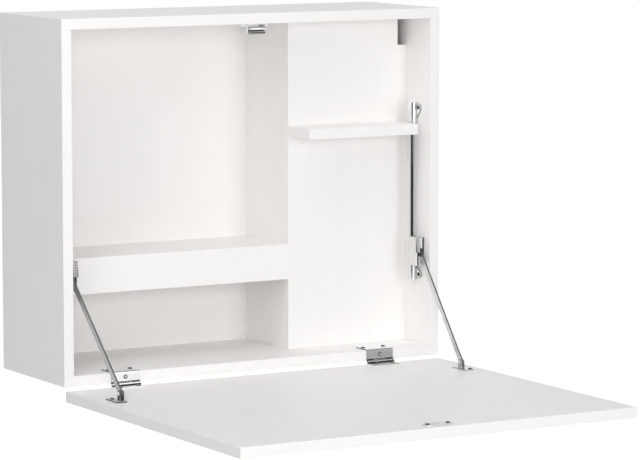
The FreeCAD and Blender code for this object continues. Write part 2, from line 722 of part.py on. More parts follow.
def stay_bracket(name, sign):
    """The bracket on the flap: a base plate, two cheeks at its inner edge, the pin and one screw.

    The screw is in front of the pin on the right and behind it on the left.
    """
    x = f"({sign}*{PIN_X})"
    gap = "(arm_thickness/2 + cheek_gap)"
    width = f"({gap} + cheek_thickness)"
    top = f"({FLAP_FACE} + bracket_thickness)"
    inner = f"({PIN_X} - {width})"
    base = sided(sign, (inner, f"{PIN_Y} - bracket_front", FLAP_FACE),
                 (f"({inner} + bracket_width)", f"{PIN_Y} + bracket_rear", top))
    cheeks = []
    for end in (-1, 1):
        start = f"{x} + {gap}" if end > 0 else f"{x} - {width}"
        cheeks.append(cylinder((start, PIN_Y, PIN_Z), "x", "cheek_radius", "cheek_thickness"))
        cheeks.append(box((start, f"{PIN_Y} - cheek_radius", FLAP_FACE),
                          (f"{start} + cheek_thickness", f"{PIN_Y} + cheek_radius", PIN_Z)))
    shaft = centred_cylinder((x, PIN_Y, PIN_Z), "x", "pin_radius", f"2*{width}")
    heads = [cylinder((f"{x} + {width}", PIN_Y, PIN_Z), "x", "pin_head_radius", "pin_head_height"),
             cylinder((f"{x} - {width}", PIN_Y, PIN_Z), "-x", "pin_head_radius", "pin_head_height")]
    fixing = screw((f"{x} + {sign}*bracket_screw_offset", f"{PIN_Y} - {sign}*bracket_screw_reach", top), "-z")
    node(f"stay_pin_{name}", fuse(shaft, *heads))
    node(f"stay_bracket_{name}", cut(fuse(base, *cheeks), shaft, fixing))
    return fixing


# ---------------------------------------------------------------- flap

def flap():
    """The flap with its strike plate, hinge leaves and stay brackets."""
    strike_half = "((strike_width - strike_depth)/2)"
    end_radius = "strike_depth/2"
    strike = link_plate("XY_Plane", end_radius, end_radius, f"2*{strike_half}", "strike_thickness")
    place(strike, (f"-{strike_half}", STRIKE_Y, FLAP_FACE))
    strike_screws = node("strike_screws", group(*[
        screw((f"{sign}*strike_screw_spacing/2", STRIKE_Y, f"{FLAP_FACE} + strike_thickness"), "-z")
        for sign in SIDES.values()
    ]))
    node("strike_plate", cut(strike, strike_screws))
    leaf_screws = hinge_leaves()
    fixings = [stay_bracket(name, sign) for name, sign in SIDES.items()]
    bracket_screws = node("stay_bracket_screws", group(*fixings))
    leaf = board((LEFT, FREE_EDGE, f"{FLAP_FACE} - flap_thickness"), (RIGHT, AXIS_Y, FLAP_FACE))
    node("flap_panel", cut(leaf, strike_screws, leaf_screws, bracket_screws))


def check_and_export():
    """Checks every object and sub-part, then writes one STEP file per sub-part."""
    doc.recompute()
    for thing in doc.Objects:
        bad = {"Invalid", "Error"} & set(thing.State)
        if bad:
            raise RuntimeError(f"{thing.Name} ({thing.Label}) is {bad}")
    for label, thing in nodes.items():
        if thing.Shape.isNull() or not thing.Shape.isValid() or not thing.Shape.Solids:
            raise RuntimeError(f"{label} has no valid solid")
    os.makedirs("parts", exist_ok=True)
    for label, thing in nodes.items():
        thing.Shape.exportStep(f"parts/{label}.step")


fill_sheet()
cabinet()
for side_name, side_sign in SIDES.items():
    slider(side_name, side_sign)
    stay_arm(side_name, side_sign)
flap()
check_and_export()
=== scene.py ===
"""Dresses the fold down wall desk: finishes, small moulded and bent pieces, floor, lamps and camera.

Everything is in metres in the row frame: +X right along the wall, -Y into the room, +Z up.
"""
import json
import math
from types import SimpleNamespace

import bpy
import numpy as np
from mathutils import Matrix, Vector
from mathutils.geometry import tessellate_polygon

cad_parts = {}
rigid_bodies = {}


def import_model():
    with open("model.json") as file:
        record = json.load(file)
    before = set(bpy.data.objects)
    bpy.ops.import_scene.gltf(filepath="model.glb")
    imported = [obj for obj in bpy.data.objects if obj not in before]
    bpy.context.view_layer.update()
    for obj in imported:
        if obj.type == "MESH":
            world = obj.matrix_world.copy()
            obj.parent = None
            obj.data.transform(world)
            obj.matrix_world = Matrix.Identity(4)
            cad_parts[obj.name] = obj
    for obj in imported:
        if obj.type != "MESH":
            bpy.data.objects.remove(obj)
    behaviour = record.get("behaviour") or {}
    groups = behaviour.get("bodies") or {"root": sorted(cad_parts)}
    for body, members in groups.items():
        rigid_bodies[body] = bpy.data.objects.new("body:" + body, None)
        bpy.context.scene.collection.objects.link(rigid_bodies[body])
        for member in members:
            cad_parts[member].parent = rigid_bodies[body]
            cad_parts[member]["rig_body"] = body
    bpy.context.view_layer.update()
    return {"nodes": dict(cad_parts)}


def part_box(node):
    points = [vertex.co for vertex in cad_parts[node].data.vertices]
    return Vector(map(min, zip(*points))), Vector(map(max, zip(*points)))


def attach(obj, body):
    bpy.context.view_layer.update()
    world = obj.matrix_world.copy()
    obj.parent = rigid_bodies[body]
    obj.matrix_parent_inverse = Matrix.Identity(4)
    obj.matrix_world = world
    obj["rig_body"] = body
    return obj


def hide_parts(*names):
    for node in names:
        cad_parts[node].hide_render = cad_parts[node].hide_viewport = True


bl_info = {
    "name": "Fold Down Wall Desk",
    "version": (1, 0, 0),
    "blender": (4, 5, 0),
    "location": "View3D > Sidebar > Wall Desk",
    "description": "Finishes and detail pieces of a fold down wall desk",
    "category": "Object",
}

MM = 0.001
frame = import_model()
NODES = frame["nodes"]
SIDES = {"left": -1, "right": 1}


# ---------------------------------------------------------------- settings

def number(name, description, default, **kind):
    """A number property."""
    return bpy.props.FloatProperty(name=name, description=description, default=default, **kind)


def length(name, description, default):
    """A length property in metres."""
    return number(name, description, default, unit="LENGTH", min=0.0, precision=5)


def angle(name, description, degrees):
    """An angle property."""
    return number(name, description, math.radians(degrees), subtype="ANGLE", unit="ROTATION")


def amount(name, description, default):
    """A share between nought and one."""
    return number(name, description, default, subtype="FACTOR", min=0.0, max=1.0)


def power(name, description, default):
    """A lamp's power in watts."""
    return number(name, description, default, unit="POWER", min=0.0)


def colour(name, description, default):
    """A colour property."""
    return bpy.props.FloatVectorProperty(name=name, description=description, default=default,
                                         subtype="COLOR", size=3, min=0.0, max=1.0)


class DeskFinishes(bpy.types.PropertyGroup):
    """Colours and roughness of the desk's finishes, among them painted shade, highlights and reflections."""

    foil: colour("Board foil", "White foil of the boards", (0.94, 0.927, 0.913))
    foil_roughness: amount("Foil roughness", "Roughness of the board foil", 0.42)
    hardboard: colour("Back panel", "White paint of the back panel", (0.94, 0.927, 0.913))
    # The left hinge's satin steel is painted lighter than the right one's: lit and shaded copies of one
    # steel.
    satin: colour("Satin steel", "Steel of the right hinge", (0.39, 0.39, 0.385))
    light_satin: colour("Light satin steel", "Steel of the left hinge", (0.78, 0.78, 0.78))
    # Painted sheen: the colour the satin hinge steels turn to where they are seen at a grazing angle.
    grazed: colour("Painted grazing sheen", "Hinge steel seen along its surface", (0.9, 0.9, 0.9))
    # Tint of the bright steel, and the bright rim that the polished steel's painted reflection turns to.
    bright: colour("Bright steel", "Plating of rods and brackets", (0.7, 0.7, 0.71))
    # Painted reflection: the dark streak down the cups where they face the eye; away from it they turn to
    # cup steel.
    cup_core: colour("Painted cup reflection", "Dark streak down the brackets' cups", (0.05, 0.05, 0.05))
    cup: colour("Cup steel", "Plating of the rods' brackets", (0.85, 0.85, 0.85))
    # The right arm's steel is painted lighter than the left one's: lit and shaded copies of one steel.
    arm: colour("Arm steel", "Steel of the left stay arm", (0.38, 0.38, 0.385))
    light_arm: colour("Light arm steel", "Steel of the right stay arm", (0.7, 0.7, 0.71))
    # Dark edges of the arms, partly cut steel and partly painted shade; painted shade on the left flap
    # bracket's cheeks and base edges.
    sheared: colour("Sheared edge", "Cut edges of sheet and strip", (0.12, 0.12, 0.12))
    bracket: colour("Bracket steel", "Plating of the flap brackets", (0.42, 0.42, 0.42))
    # Painted reflection: the dark streak down the polished rods and pins where they face the eye.
    core: colour("Painted rod reflection", "Dark streak down the polished rods", (0.02, 0.02, 0.022))
    zinc: colour("Zinc", "Plating of hidden fittings", (0.62, 0.63, 0.65))
    # Dark plating of the small screws, and painted shade: the rims and recesses of the hinge screws' zinc
    # heads and the strip beside each slider's slot.
    dark_plating: colour("Dark plating", "Plating of the small screws", (0.07, 0.07, 0.07))
    # Painted shade on the lower pole plate's edges.
    pole: colour("Pole steel", "Pole plates of the catch", (0.06, 0.06, 0.06))
    ferrite: colour("Ferrite", "Magnet of the catch", (0.05, 0.048, 0.047))
    moulding: colour("Grey moulding", "Plastic of the sliders", (0.8, 0.79, 0.775))
    # Painted shade on the hinges: the barrels' top and underside outside the painted highlight band, the
    # seam above them, a line in the plate's bend and the plate's edges.
    seam: colour("Hinge seam", "Dark gap and underside of the hinge barrels", (0.03, 0.03, 0.03))
    tooth: colour("Brake teeth", "Plastic of the brakes' teeth", (0.42, 0.41, 0.4))
    white_moulding: colour("White moulding", "Plastic of the catch and blocks", (0.83, 0.83, 0.82))
    # Rubber of the brake's wedge; its pad, a dark line below the wedge, paints the shade of the arm's slot.
    rubber: colour("Brake rubber", "Insert of the sliders", (0.02, 0.02, 0.02))
    beech: colour("Beech", "Wood of the dowels", (0.55, 0.36, 0.2))


class DeskHinges(bpy.types.PropertyGroup):
    """Sizes of the hinges."""

    thickness: length("Sheet", "Thickness of the hinge sheet", 1.2 * MM)
    tab_length: length("Tab", "Reach of the plate's tab along the bottom panel", 31 * MM)
    leaf_length: length("Leaf", "Reach of the leaf from the pin", 18 * MM)
    bend_radius: length("Bend", "Inner radius of the plate's bend", 0.5 * MM)
    corner_radius: length("Corner", "Radius of the free corners", 2 * MM)
    barrel_radius: length("Barrel", "Outer radius of the rolled knuckles", 2.7 * MM)
    barrel_gap: length("Barrel gap", "Gap between a knuckle and the other half's sheet", 0.4 * MM)
    knuckle_length: length("Knuckle", "Length of an outer knuckle", 11 * MM)
    knuckle_gap: length("Knuckle gap", "Gap between neighbouring knuckles", 0.3 * MM)
    # Painted shade: the height of the dark line on the plate just above the barrel.
    seam_shade_height: length("Seam", "Height of the dark seam above the barrel", 0.9 * MM)
    # Painted highlight: the bright band along each barrel, between these levels.
    highlight_band: bpy.props.FloatVectorProperty(
        name="Painted highlight", description="Levels of the barrel's bright band, as shares of its radius", size=2,
        default=(0.15, 0.6))
    plate_spacing: length("Plate screws", "Distance between the screws of the tab", 34 * MM)
    leaf_spacing: length("Leaf screws", "Distance between the screws of the leaf", 28 * MM)


class DeskStays(bpy.types.PropertyGroup):
    """Sizes of the stays: rods, rod brackets, sliders, arms and flap brackets."""

    edge: length("Edge", "Rounding of moulded and cast edges", 0.6 * MM)
    seam: length("Seam", "Smallest gaps and roundings", 0.1 * MM)
    rim: length("Rim", "Rounding of turned rims", 0.5 * MM)
    fit: length("Fit", "Play of a bore round its rod", 0.05 * MM)
    floor: length("Cup floor", "Thickness of a cup's closed end", 2 * MM)
    cup_radius: length("Cup", "Outer radius of cups and slider hubs", 6 * MM)
    lower_cup: length("Lower cup", "Height of the lower cup", 22.7 * MM)
    upper_cup: length("Upper cup", "Height of the upper cup", 31 * MM)
    lower_rise: length("Lower ear", "Height of the lower ear's centre above the cup's foot", 12 * MM)
    upper_drop: length("Upper ear", "Depth of the upper ear's centre below the cup's top", 16 * MM)
    lower_turn: angle("Lower turn", "Turn of the lower ear", 194)
    upper_turn: angle("Upper turn", "Turn of the upper ear", 141)
    ear_thickness: length("Ear", "Thickness of an ear", 2.5 * MM)
    ear_radius: length("Ear root", "Radius of an ear at the cup", 8 * MM)
    ear_tip: length("Ear tip", "Radius of an ear at its screw", 5 * MM)
    ear_reach: length("Ear reach", "Distance from the cup's axis to the screw", 12.5 * MM)
    corner_radius: length("Slider corner", "Rounding of the slider's front corners", 1.2 * MM)
    slot_inner: length("Slot, inner", "Reach of the arm's slot inward from the arm", 2.5 * MM)
    slot_outer: length("Slot, outer", "Reach of the arm's slot outward from the arm", 1.6 * MM)
    slot_depth: length("Slot depth", "Depth of the slider's slot for the arm", 13 * MM)
    slot_top: length("Slot top", "Height of the slot's closed part above the arm's upper pivot", 5.5 * MM)
    # A dark strip beside the slot paints the shade of the gap there: its width, and its reach below the
    # pivot.
    shade_strip_width: length("Shade strip width", "Width of the steel guide", 2.4 * MM)
    shade_strip_drop: length("Shade strip drop", "Reach of the steel guide below the arm's upper pivot", 10 * MM)
    # The rubber pad in this channel paints the slot's shade as a dark line below the wedge.
    channel_offset: length("Channel", "Distance of the pad's channel inward from the brake", 0.35 * MM)
    channel_half: length("Channel width", "Half the width of the pad's channel", 1.15 * MM)
    brake_front: length("Brake front", "Reach of the brake's teeth before the slider's nose", 0.5 * MM)
    brake_width: length("Brake width", "Width of the brake's teeth", 7.2 * MM)
    wedge_reach: length("Wedge reach", "Reach of the brake's rubber wedge beyond its channel", 1.9 * MM)
    wedge_height: length("Wedge", "Height of the brake's rubber wedge", 6 * MM)
    tooth_pitch: length("Tooth pitch", "Distance between the brake's teeth", 3.6 * MM)
    tooth_depth: length("Tooth depth", "Depth of the brake's teeth", 1.2 * MM)
    eye_radius: length("Eye", "Radius of the arm's eyes", 5 * MM)
    arm_waist: length("Arm", "Half the arm's width between its eyes", 4.2 * MM)
    neck_length: length("Neck", "Length over which the arm narrows from its eye", 16 * MM)
    arm_thickness: length("Arm thickness", "Thickness of the arm", 2.5 * MM)
    bracket_corner: length("Bracket corner", "Radius of the flap bracket's corners", 3.5 * MM)
    bracket_screw_offset: length("Bracket screw", "Distance of the screw outward from the arm", 7.5 * MM)
    bracket_reach: length("Bracket reach", "Distance of the screw before or behind the pin", 11.5 * MM)
    sheet: length("Bracket sheet", "Thickness of the flap bracket", 1.5 * MM)
    cheek_radius: length("Cheek", "Radius of the bracket's cheeks", 4.5 * MM)
    cheek_gap: length("Cheek gap", "Gap between arm and cheek", 0.35 * MM)
    shaft_share: amount("Shaft share", "Radius of the pin's shaft as a share of its head's", 2 / 3)
    head_height: length("Pin head", "Height of the pin's heads", 1 * MM)


class DeskCatch(bpy.types.PropertyGroup):
    """Sizes of the magnet catch and the strike plate."""

    edge: length("Edge", "Rounding of the catch's edges", 0.5 * MM)
    play: length("Play", "Gap round a pole plate", 0.1 * MM)
    corner_radius: length("Corner", "Rounding of the catch's corners in front view", 0.8 * MM)
    ear_width: length("Ear", "Reach of an ear beyond the body", 8 * MM)
    ear_depth: length("Ear depth", "Depth of an ear", 9 * MM)
    ear_thickness: length("Ear thickness", "Thickness of an ear", 4 * MM)
    pole_thickness: length("Pole", "Thickness of a pole plate", 1.5 * MM)
    strike_spacing: length("Strike screws", "Distance between the strike plate's screws", 31.5 * MM)


class DeskScrews(bpy.types.PropertyGroup):
    """Sizes of the small cross-recessed screws."""

    head_radius: length("Head", "Radius of the head", 3 * MM)
    head_height: length("Head height", "Height of the head", 1.6 * MM)
    shank_radius: length("Shank", "Radius of the thread's crest", 1.6 * MM)
    length: length("Length", "Length below the head", 12 * MM)


class DeskStage(bpy.types.PropertyGroup):
    """Camera, lamps and floor."""

    camera_place: bpy.props.FloatVectorProperty(
        name="Camera place", description="Where the camera stands", size=3, subtype="TRANSLATION",
        unit="LENGTH", default=(-2.3602, -4.4433, 0.5145))
    camera_yaw: angle("Camera yaw", "Turn to the right of the wall's normal", 30.143)
    camera_pitch: angle("Camera pitch", "Tilt below the horizon", 6.666)
    focal_length: number("Focal length", "Lens in millimetres on a 36 mm sensor", 193.455)
    floor_drop: length("Floor drop", "Height of the open desk top above the floor", 0.74)
    floor_reach: length("Floor reach", "Half the floor's width", 12.0)
    floor_colour: colour("Floor", "Pale floor", (0.86, 0.86, 0.86))
    floor_lift: amount("Floor lift", "Glow of the floor where it is seen", 0.85)
    sky: number("Sky", "Strength of the even light", 0.24)
    front: power("Front", "Large lamp in front and above", 9.0)
    low: power("Low", "Lamp in front at the left, a little above the desk top", 38.0)
    top: power("Top", "Large lamp overhead", 17.0)
    left: power("Left", "Lamp at the left, above the cabinet", 23.0)
    above: power("Above", "Lamp above the desk top at the left", 22.0)
    near: power("Near", "Lamp in front at the right, a little above the desk top", 30.0)


# ---------------------------------------------------------------- materials

# Grain directions as scales on each axis: the streaks run along the axis with the small scale.
EVEN = (1.0, 1.0, 1.0)
ALONG_X, ALONG_Z, ACROSS_X = (0.1, 1.0, 1.0), (1.0, 1.0, 0.1), (1.0, 0.1, 0.1)
BOARD_UPRIGHT, BOARD_LYING = (1.0, 1.0, 0.04), (0.04, 1.0, 1.0)

# Grain direction, share of streaks, share of clouds and strength of the relief.
BRUSHED = ((0.05, 1.0, 1.0), 0.5, 0.1, 0.05)
DRAWN = (ALONG_Z, 0.1, 0.1, 0.02)
FOIL = (0.04, 0.03, 0.02)
HARDBOARD_DULLER = 0.15

# Colour setting, roughness, then the grain as above.
METALS = {
    "Bright steel": ("bright", 0.35, *DRAWN),
    "Bracket steel": ("bracket", 0.3, EVEN, 0.15, 0.15, 0.05),
    "Arm steel": ("arm", 0.3, ACROSS_X, 0.1, 0.1, 0.04),
    "Light arm steel": ("light_arm", 0.3, ACROSS_X, 0.1, 0.1, 0.04),
    "Zinc": ("zinc", 0.38, EVEN, 0.15, 0.15, 0.05),
    "Dark plating": ("dark_plating", 0.4, EVEN, 0.2, 0.1, 0.05),
    "Pole steel": ("pole", 0.4, ALONG_X, 0.2, 0.1, 0.05),
    "Hinge seam": ("seam", 0.5, ALONG_X, 0.2, 0.1, 0.1),
    "Sheared edge": ("sheared", 0.5, EVEN, 0.2, 0.1, 0.1),
    "Strike steel": ("zinc", 0.34, ALONG_X, 0.12, 0.1, 0.05),
}
MOULDED = {
    "Ferrite": ("ferrite", 0.6, EVEN, 0.2, 0.2, 0.2),
    "Grey moulding": ("moulding", 0.45, EVEN, 0.03, 0.03, 0.06),
    "Brake teeth": ("tooth", 0.5, EVEN, 0.1, 0.05, 0.06),
    "White moulding": ("white_moulding", 0.4, EVEN, 0.03, 0.03, 0.06),
    "Brake rubber": ("rubber", 0.7, EVEN, 0.1, 0.1, 0.1),
    "Beech": ("beech", 0.6, ALONG_Z, 0.35, 0.2, 0.2),
}
# Painted sheen and reflection: colour facing the eye, colour turned away, where the change starts and stops,
# roughness, grain.
FACING_STEELS = {
    "Satin steel": ("satin", "grazed", (0.3, 0.75), 0.34, *BRUSHED),
    "Light satin steel": ("light_satin", "grazed", (0.3, 0.75), 0.34, *BRUSHED),
    "Polished steel": ("core", "bright", (0.04, 0.25), 0.12, *DRAWN),
    "Cup steel": ("cup_core", "cup", (0.0, 0.06), 0.4, *DRAWN),
}
RELIEF = 0.2 * MM
MIX_FIRST, MIX_SECOND, MIX_RESULT = 6, 7, 2     # colour sockets of a Mix node


def pair(*names):
    """Each name with _left and _right."""
    return [f"{name}_{side}" for name in names for side in SIDES]


WORN_BY = {
    "Satin steel": ("hinge_plate_right", "hinge_leaf_right", "hinge_pin_right"),
    "Light satin steel": ("hinge_plate_left", "hinge_leaf_left", "hinge_pin_left"),
    "Bright steel": pair("guide_rod", "rod_upper_bracket", "rod_lower_bracket", "stay_pin"),
    "Bracket steel": pair("stay_bracket"),
    "Arm steel": pair("stay_arm", "arm_bush"),
    "Zinc": ("connecting_screws", "cam_bolts", "cam_housings", "hanger_plates", "hanger_screws",
             "corner_block_screws", "small_shelf_screws", "catch_screws", "strike_plate"),
    "Dark plating": ("hinge_plate_screws", "hinge_leaf_screws", "stay_bracket_screws", "strike_screws",
                     "rod_bracket_screws"),
    "Pole steel": ("catch_pole_plates",),
    "Ferrite": ("catch_magnet",),
    "Grey moulding": pair("slider_housing"),
    "White moulding": ("catch_body", "corner_blocks"),
    "Brake rubber": pair("brake_insert"),
    "Beech": ("wood_dowels",),
}


def node(tree, kind, **values):
    """A shader node with its properties and unlinked inputs set."""
    made = tree.nodes.new(kind)
    for name, value in values.items():
        if name in made.bl_rna.properties:
            setattr(made, name, value)
        else:
            made.inputs[name].default_value = value
    return made


def worked_out(tree, operation, *operands):
    """The output of a Math node on outputs or plain numbers."""
    made = node(tree, "ShaderNodeMath", operation=operation)
    for socket, operand in zip(made.inputs, operands):
        if isinstance(operand, float):
            socket.default_value = operand
        else:
            tree.links.new(operand, socket)
    return made.outputs[0]


def grain_group():
    """Long fine streaks and broad cloudy patches on object coordinates.

    Inputs: Tint, Along (the grain's direction as a scale on each axis), Streaks, Clouds, Roughness.
    Outputs: Color, Roughness, Height. The shares of both noises about nought are added; the sum
    brightens the tint and smooths the surface.
    """
    tree = bpy.data.node_groups.new("Surface wear", "ShaderNodeTree")
    for direction, kind, names in (("INPUT", "Color", ("Tint",)), ("INPUT", "Vector", ("Along",)),
                                   ("INPUT", "Float", ("Streaks", "Clouds", "Roughness")),
                                   ("OUTPUT", "Color", ("Color",)),
                                   ("OUTPUT", "Float", ("Roughness", "Height"))):
        for name in names:
            tree.interface.new_socket(name=name, in_out=direction, socket_type=f"NodeSocket{kind}")
    source = tree.nodes.new("NodeGroupInput").outputs
    result = tree.nodes.new("NodeGroupOutput").inputs
    place = tree.nodes.new("ShaderNodeTexCoord").outputs["Object"]
    stretch = node(tree, "ShaderNodeVectorMath", operation="MULTIPLY")
    tree.links.new(place, stretch.inputs[0])
    tree.links.new(source["Along"], stretch.inputs[1])
    streaks = node(tree, "ShaderNodeTexNoise", Scale=90.0, Detail=6.0, Roughness=0.65)
    tree.links.new(stretch.outputs[0], streaks.inputs["Vector"])
    clouds = node(tree, "ShaderNodeTexNoise", Scale=5.0, Detail=3.0, Roughness=0.5)
    tree.links.new(place, clouds.inputs["Vector"])
    shares = []
    for noise, share in ((streaks, "Streaks"), (clouds, "Clouds")):
        centred = worked_out(tree, "SUBTRACT", noise.outputs["Fac"], 0.5)
        shares.append(worked_out(tree, "MULTIPLY", centred, source[share]))
    both = worked_out(tree, "ADD", *shares)
    tint = node(tree, "ShaderNodeVectorMath", operation="SCALE")
    tree.links.new(source["Tint"], tint.inputs[0])
    tree.links.new(worked_out(tree, "ADD", both, 1.0), tint.inputs["Scale"])
    tree.links.new(tint.outputs[0], result["Color"])
    tree.links.new(worked_out(tree, "SUBTRACT", source["Roughness"], both), result["Roughness"])
    tree.links.new(streaks.outputs["Fac"], result["Height"])
    return tree


def finish(name, tint, roughness, along, streaks, clouds, bump, metallic=0.0):
    """A material whose colour, roughness and relief come from the grain group."""
    made = bpy.data.materials.new(name)
    made.use_nodes = True
    tree = made.node_tree
    shader = tree.nodes["Principled BSDF"]
    shader.inputs["Metallic"].default_value = metallic
    grain = tree.nodes.new("ShaderNodeGroup")
    grain.node_tree = bpy.data.node_groups.get("Surface wear") or grain_group()
    for socket, value in (("Tint", (*tint, 1.0)), ("Along", along), ("Streaks", streaks),
                          ("Clouds", clouds), ("Roughness", roughness)):
        grain.inputs[socket].default_value = value
    relief = node(tree, "ShaderNodeBump", Strength=bump, Distance=RELIEF)
    tree.links.new(grain.outputs["Color"], shader.inputs["Base Color"])
    tree.links.new(grain.outputs["Roughness"], shader.inputs["Roughness"])
    tree.links.new(grain.outputs["Height"], relief.inputs["Height"])
    tree.links.new(relief.outputs["Normal"], shader.inputs["Normal"])
    return made


def facing_steel(name, core, rim, change, roughness, *grain):
    """Steel of one colour where it faces the eye and of another where it turns away: painted sheen and
    reflection.
    """
    made = finish(name, rim, roughness, *grain, metallic=1.0)
    tree = made.node_tree
    facing = node(tree, "ShaderNodeLayerWeight", Blend=0.5)
    ramp = node(tree, "ShaderNodeMapRange", interpolation_type="SMOOTHSTEP")
    ramp.inputs["From Min"].default_value, ramp.inputs["From Max"].default_value = change
    tree.links.new(facing.outputs["Facing"], ramp.inputs["Value"])
    tone = node(tree, "ShaderNodeMix", data_type="RGBA")
    tree.links.new(ramp.outputs["Result"], tone.inputs["Factor"])
    tone.inputs[MIX_FIRST].default_value = (*core, 1.0)
    tone.inputs[MIX_SECOND].default_value = (*rim, 1.0)
    tree.links.new(tone.outputs[MIX_RESULT], tree.nodes["Group"].inputs["Tint"])


def dress(material, names):
    """Gives CAD nodes a material."""
    for name in names:
        slots = NODES[name].data.materials
        slots.clear()
        slots.append(material)


class WALLDESK_OT_finish_boards(bpy.types.Operator):
    """Gives the boards their white foil, with the grain along each board"""

    bl_idname = "walldesk.finish_boards"
    bl_label = "Finish boards"

    def execute(self, context):
        look = context.scene.desk_finishes
        rough = look.foil_roughness
        dress(finish("White foil upright", look.foil, rough, BOARD_UPRIGHT, *FOIL),
              ("left_side", "right_side", "divider", "cover_panel"))
        dress(finish("White foil lying", look.foil, rough, BOARD_LYING, *FOIL),
              ("top_panel", "bottom_panel", "compartment_shelf", "shelf_apron", "small_shelf", "flap_panel"))
        dress(finish("White hardboard", look.hardboard, rough + HARDBOARD_DULLER, BOARD_UPRIGHT, *FOIL),
              ("back_panel",))
        return {"FINISHED"}


class WALLDESK_OT_finish_fittings(bpy.types.Operator):
    """Gives the metal, plastic and wooden fittings their finishes"""

    bl_idname = "walldesk.finish_fittings"
    bl_label = "Finish fittings"

    def execute(self, context):
        look = context.scene.desk_finishes
        for name, (core, rim, *rest) in FACING_STEELS.items():
            facing_steel(name, getattr(look, core), getattr(look, rim), *rest)
        for finishes, metallic in ((METALS, 1.0), (MOULDED, 0.0)):
            for name, (tint, *rest) in finishes.items():
                finish(name, getattr(look, tint), *rest, metallic)
        for name, nodes in WORN_BY.items():
            dress(bpy.data.materials[name], nodes)
        return {"FINISHED"}


# ---------------------------------------------------------------- shapes

HOLE_STEPS = 33
EYE_STEPS = 24


def arc(centre, radius, start, end, steps):
    """Points of an arc between two angles in degrees."""
    turn = np.radians(np.linspace(start, end, steps))
    return np.column_stack((centre[0] + radius * np.cos(turn), centre[1] + radius * np.sin(turn)))


def unit(rows):
    """Rows scaled to length one."""
    return rows / np.linalg.norm(rows, axis=-1, keepdims=True)


def rounded(points, radii, steps=6, rest_share=0.02):
    """A closed outline whose corners are arcs; a corner with no radius stays as it is.

    Each arc touches both of its edges. A point a little outside each touching point, by a share
    of the radius, keeps the shading of the straight run flat.
    """
    points = np.asarray(points, float)
    radii = np.broadcast_to(radii, len(points))
    spread = np.linspace(0.0, 1.0, steps)[:, None]
    runs = []
    for before, corner, after, radius in zip(np.roll(points, 1, 0), points, np.roll(points, -1, 0), radii):
        if not radius:
            runs.append(corner[None])
            continue
        back, ahead = unit(before - corner), unit(after - corner)
        half = math.acos(np.clip(back @ ahead, -1.0, 1.0)) / 2
        reach, sweep = radius / math.tan(half), math.pi - 2 * half
        centre = corner + unit(back + ahead) * radius / math.sin(half)
        start, end = corner + back * reach - centre, corner + ahead * reach - centre
        turn = (np.sin((1 - spread) * sweep) * start + np.sin(spread * sweep) * end) / math.sin(sweep)
        rest = rest_share * radius
        runs += [centre[None] + start + back * rest, centre + turn, centre[None] + end + ahead * rest]
    return np.vstack(runs)


def block_outline(low, high, radius):
    """A rectangle with rounded corners, anticlockwise."""
    corners = [low, (high[0], low[1]), high, (low[0], high[1])]
    return rounded(corners, radius)


def link_outline(first, radius_a, second, radius_b):
    """The outline round two circles with their common tangents, anticlockwise."""
    first, second = np.asarray(first, float), np.asarray(second, float)
    span = second - first
    turn = math.degrees(math.atan2(span[1], span[0]))
    tilt = math.degrees(math.acos((radius_a - radius_b) / np.linalg.norm(span)))
    return np.vstack((arc(first, radius_a, turn + tilt, turn + 360 - tilt, EYE_STEPS),
                      arc(second, radius_b, turn - tilt, turn + tilt, EYE_STEPS)))


def hole(centre, radius):
    """A round hole's outline, clockwise."""
    return arc(centre, radius, 360, 0, HOLE_STEPS)[:-1]


def inset(loop, depth):
    """An outline moved to its left by a depth, along the mitred normals."""
    ahead = unit(np.roll(loop, -1, 0) - loop)
    both = ahead + np.roll(ahead, 1, 0)
    scale = 1.0 + np.sum(ahead * np.roll(ahead, 1, 0), axis=1, keepdims=True)
    return loop + depth * np.column_stack((-both[:, 1], both[:, 0])) / scale


def centre_of(name):
    """The middle of a CAD node's box."""
    low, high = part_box(name)
    return (low + high) / 2


def frame_of(origin, u, v, w):
    """A frame as its origin and the rows of its three axes."""
    return np.asarray(origin, float), np.array([u, v, w], float)


def side_place(x, sign):
    """A frame whose outline lies in a side's plane and whose third axis points out to that side."""
    return frame_of((x, 0, 0), (0, 1, 0), (0, 0, 1), (sign, 0, 0))


def plan_place(sign, x=0.0, y=0.0, z=0.0):
    """A frame whose outline lies in plan, mirrored for the left, and whose third axis points up."""
    return frame_of((x, y, z), (sign, 0, 0), (0, 1, 0), (0, 0, 1))


def placed(vertices, faces, place):
    """Vertices carried into the row frame; faces turn round where the frame is left-handed."""
    origin, axes = place
    if np.linalg.det(axes) < 0:
        faces = [tuple(reversed(face)) for face in faces]
    return vertices @ axes + origin, faces


def caps(loops, indices, upward):
    """Triangles that close one end of a set of outlines with holes."""
    flat = np.vstack(loops)
    numbers = np.concatenate(indices)
    triangles = np.array(tessellate_polygon([[Vector((*p, 0.0)) for p in loop] for loop in loops]))
    a, b, c = (flat[triangles[:, k]] for k in range(3))
    area = (b[:, 0] - a[:, 0]) * (c[:, 1] - a[:, 1]) - (b[:, 1] - a[:, 1]) * (c[:, 0] - a[:, 0])
    wrong = (area > 0) != upward
    triangles[wrong] = triangles[wrong][:, ::-1]
    return numbers[triangles[np.abs(area) > 0]].tolist()


def wall_faces(index):
    """Quads between neighbouring rows of a grid of point numbers whose rows are closed rings."""
    after = np.roll(index, -1, 1)
    return np.stack((index[:-1], after[:-1], after[1:], index[1:]), -1).reshape(-1, 4).tolist()


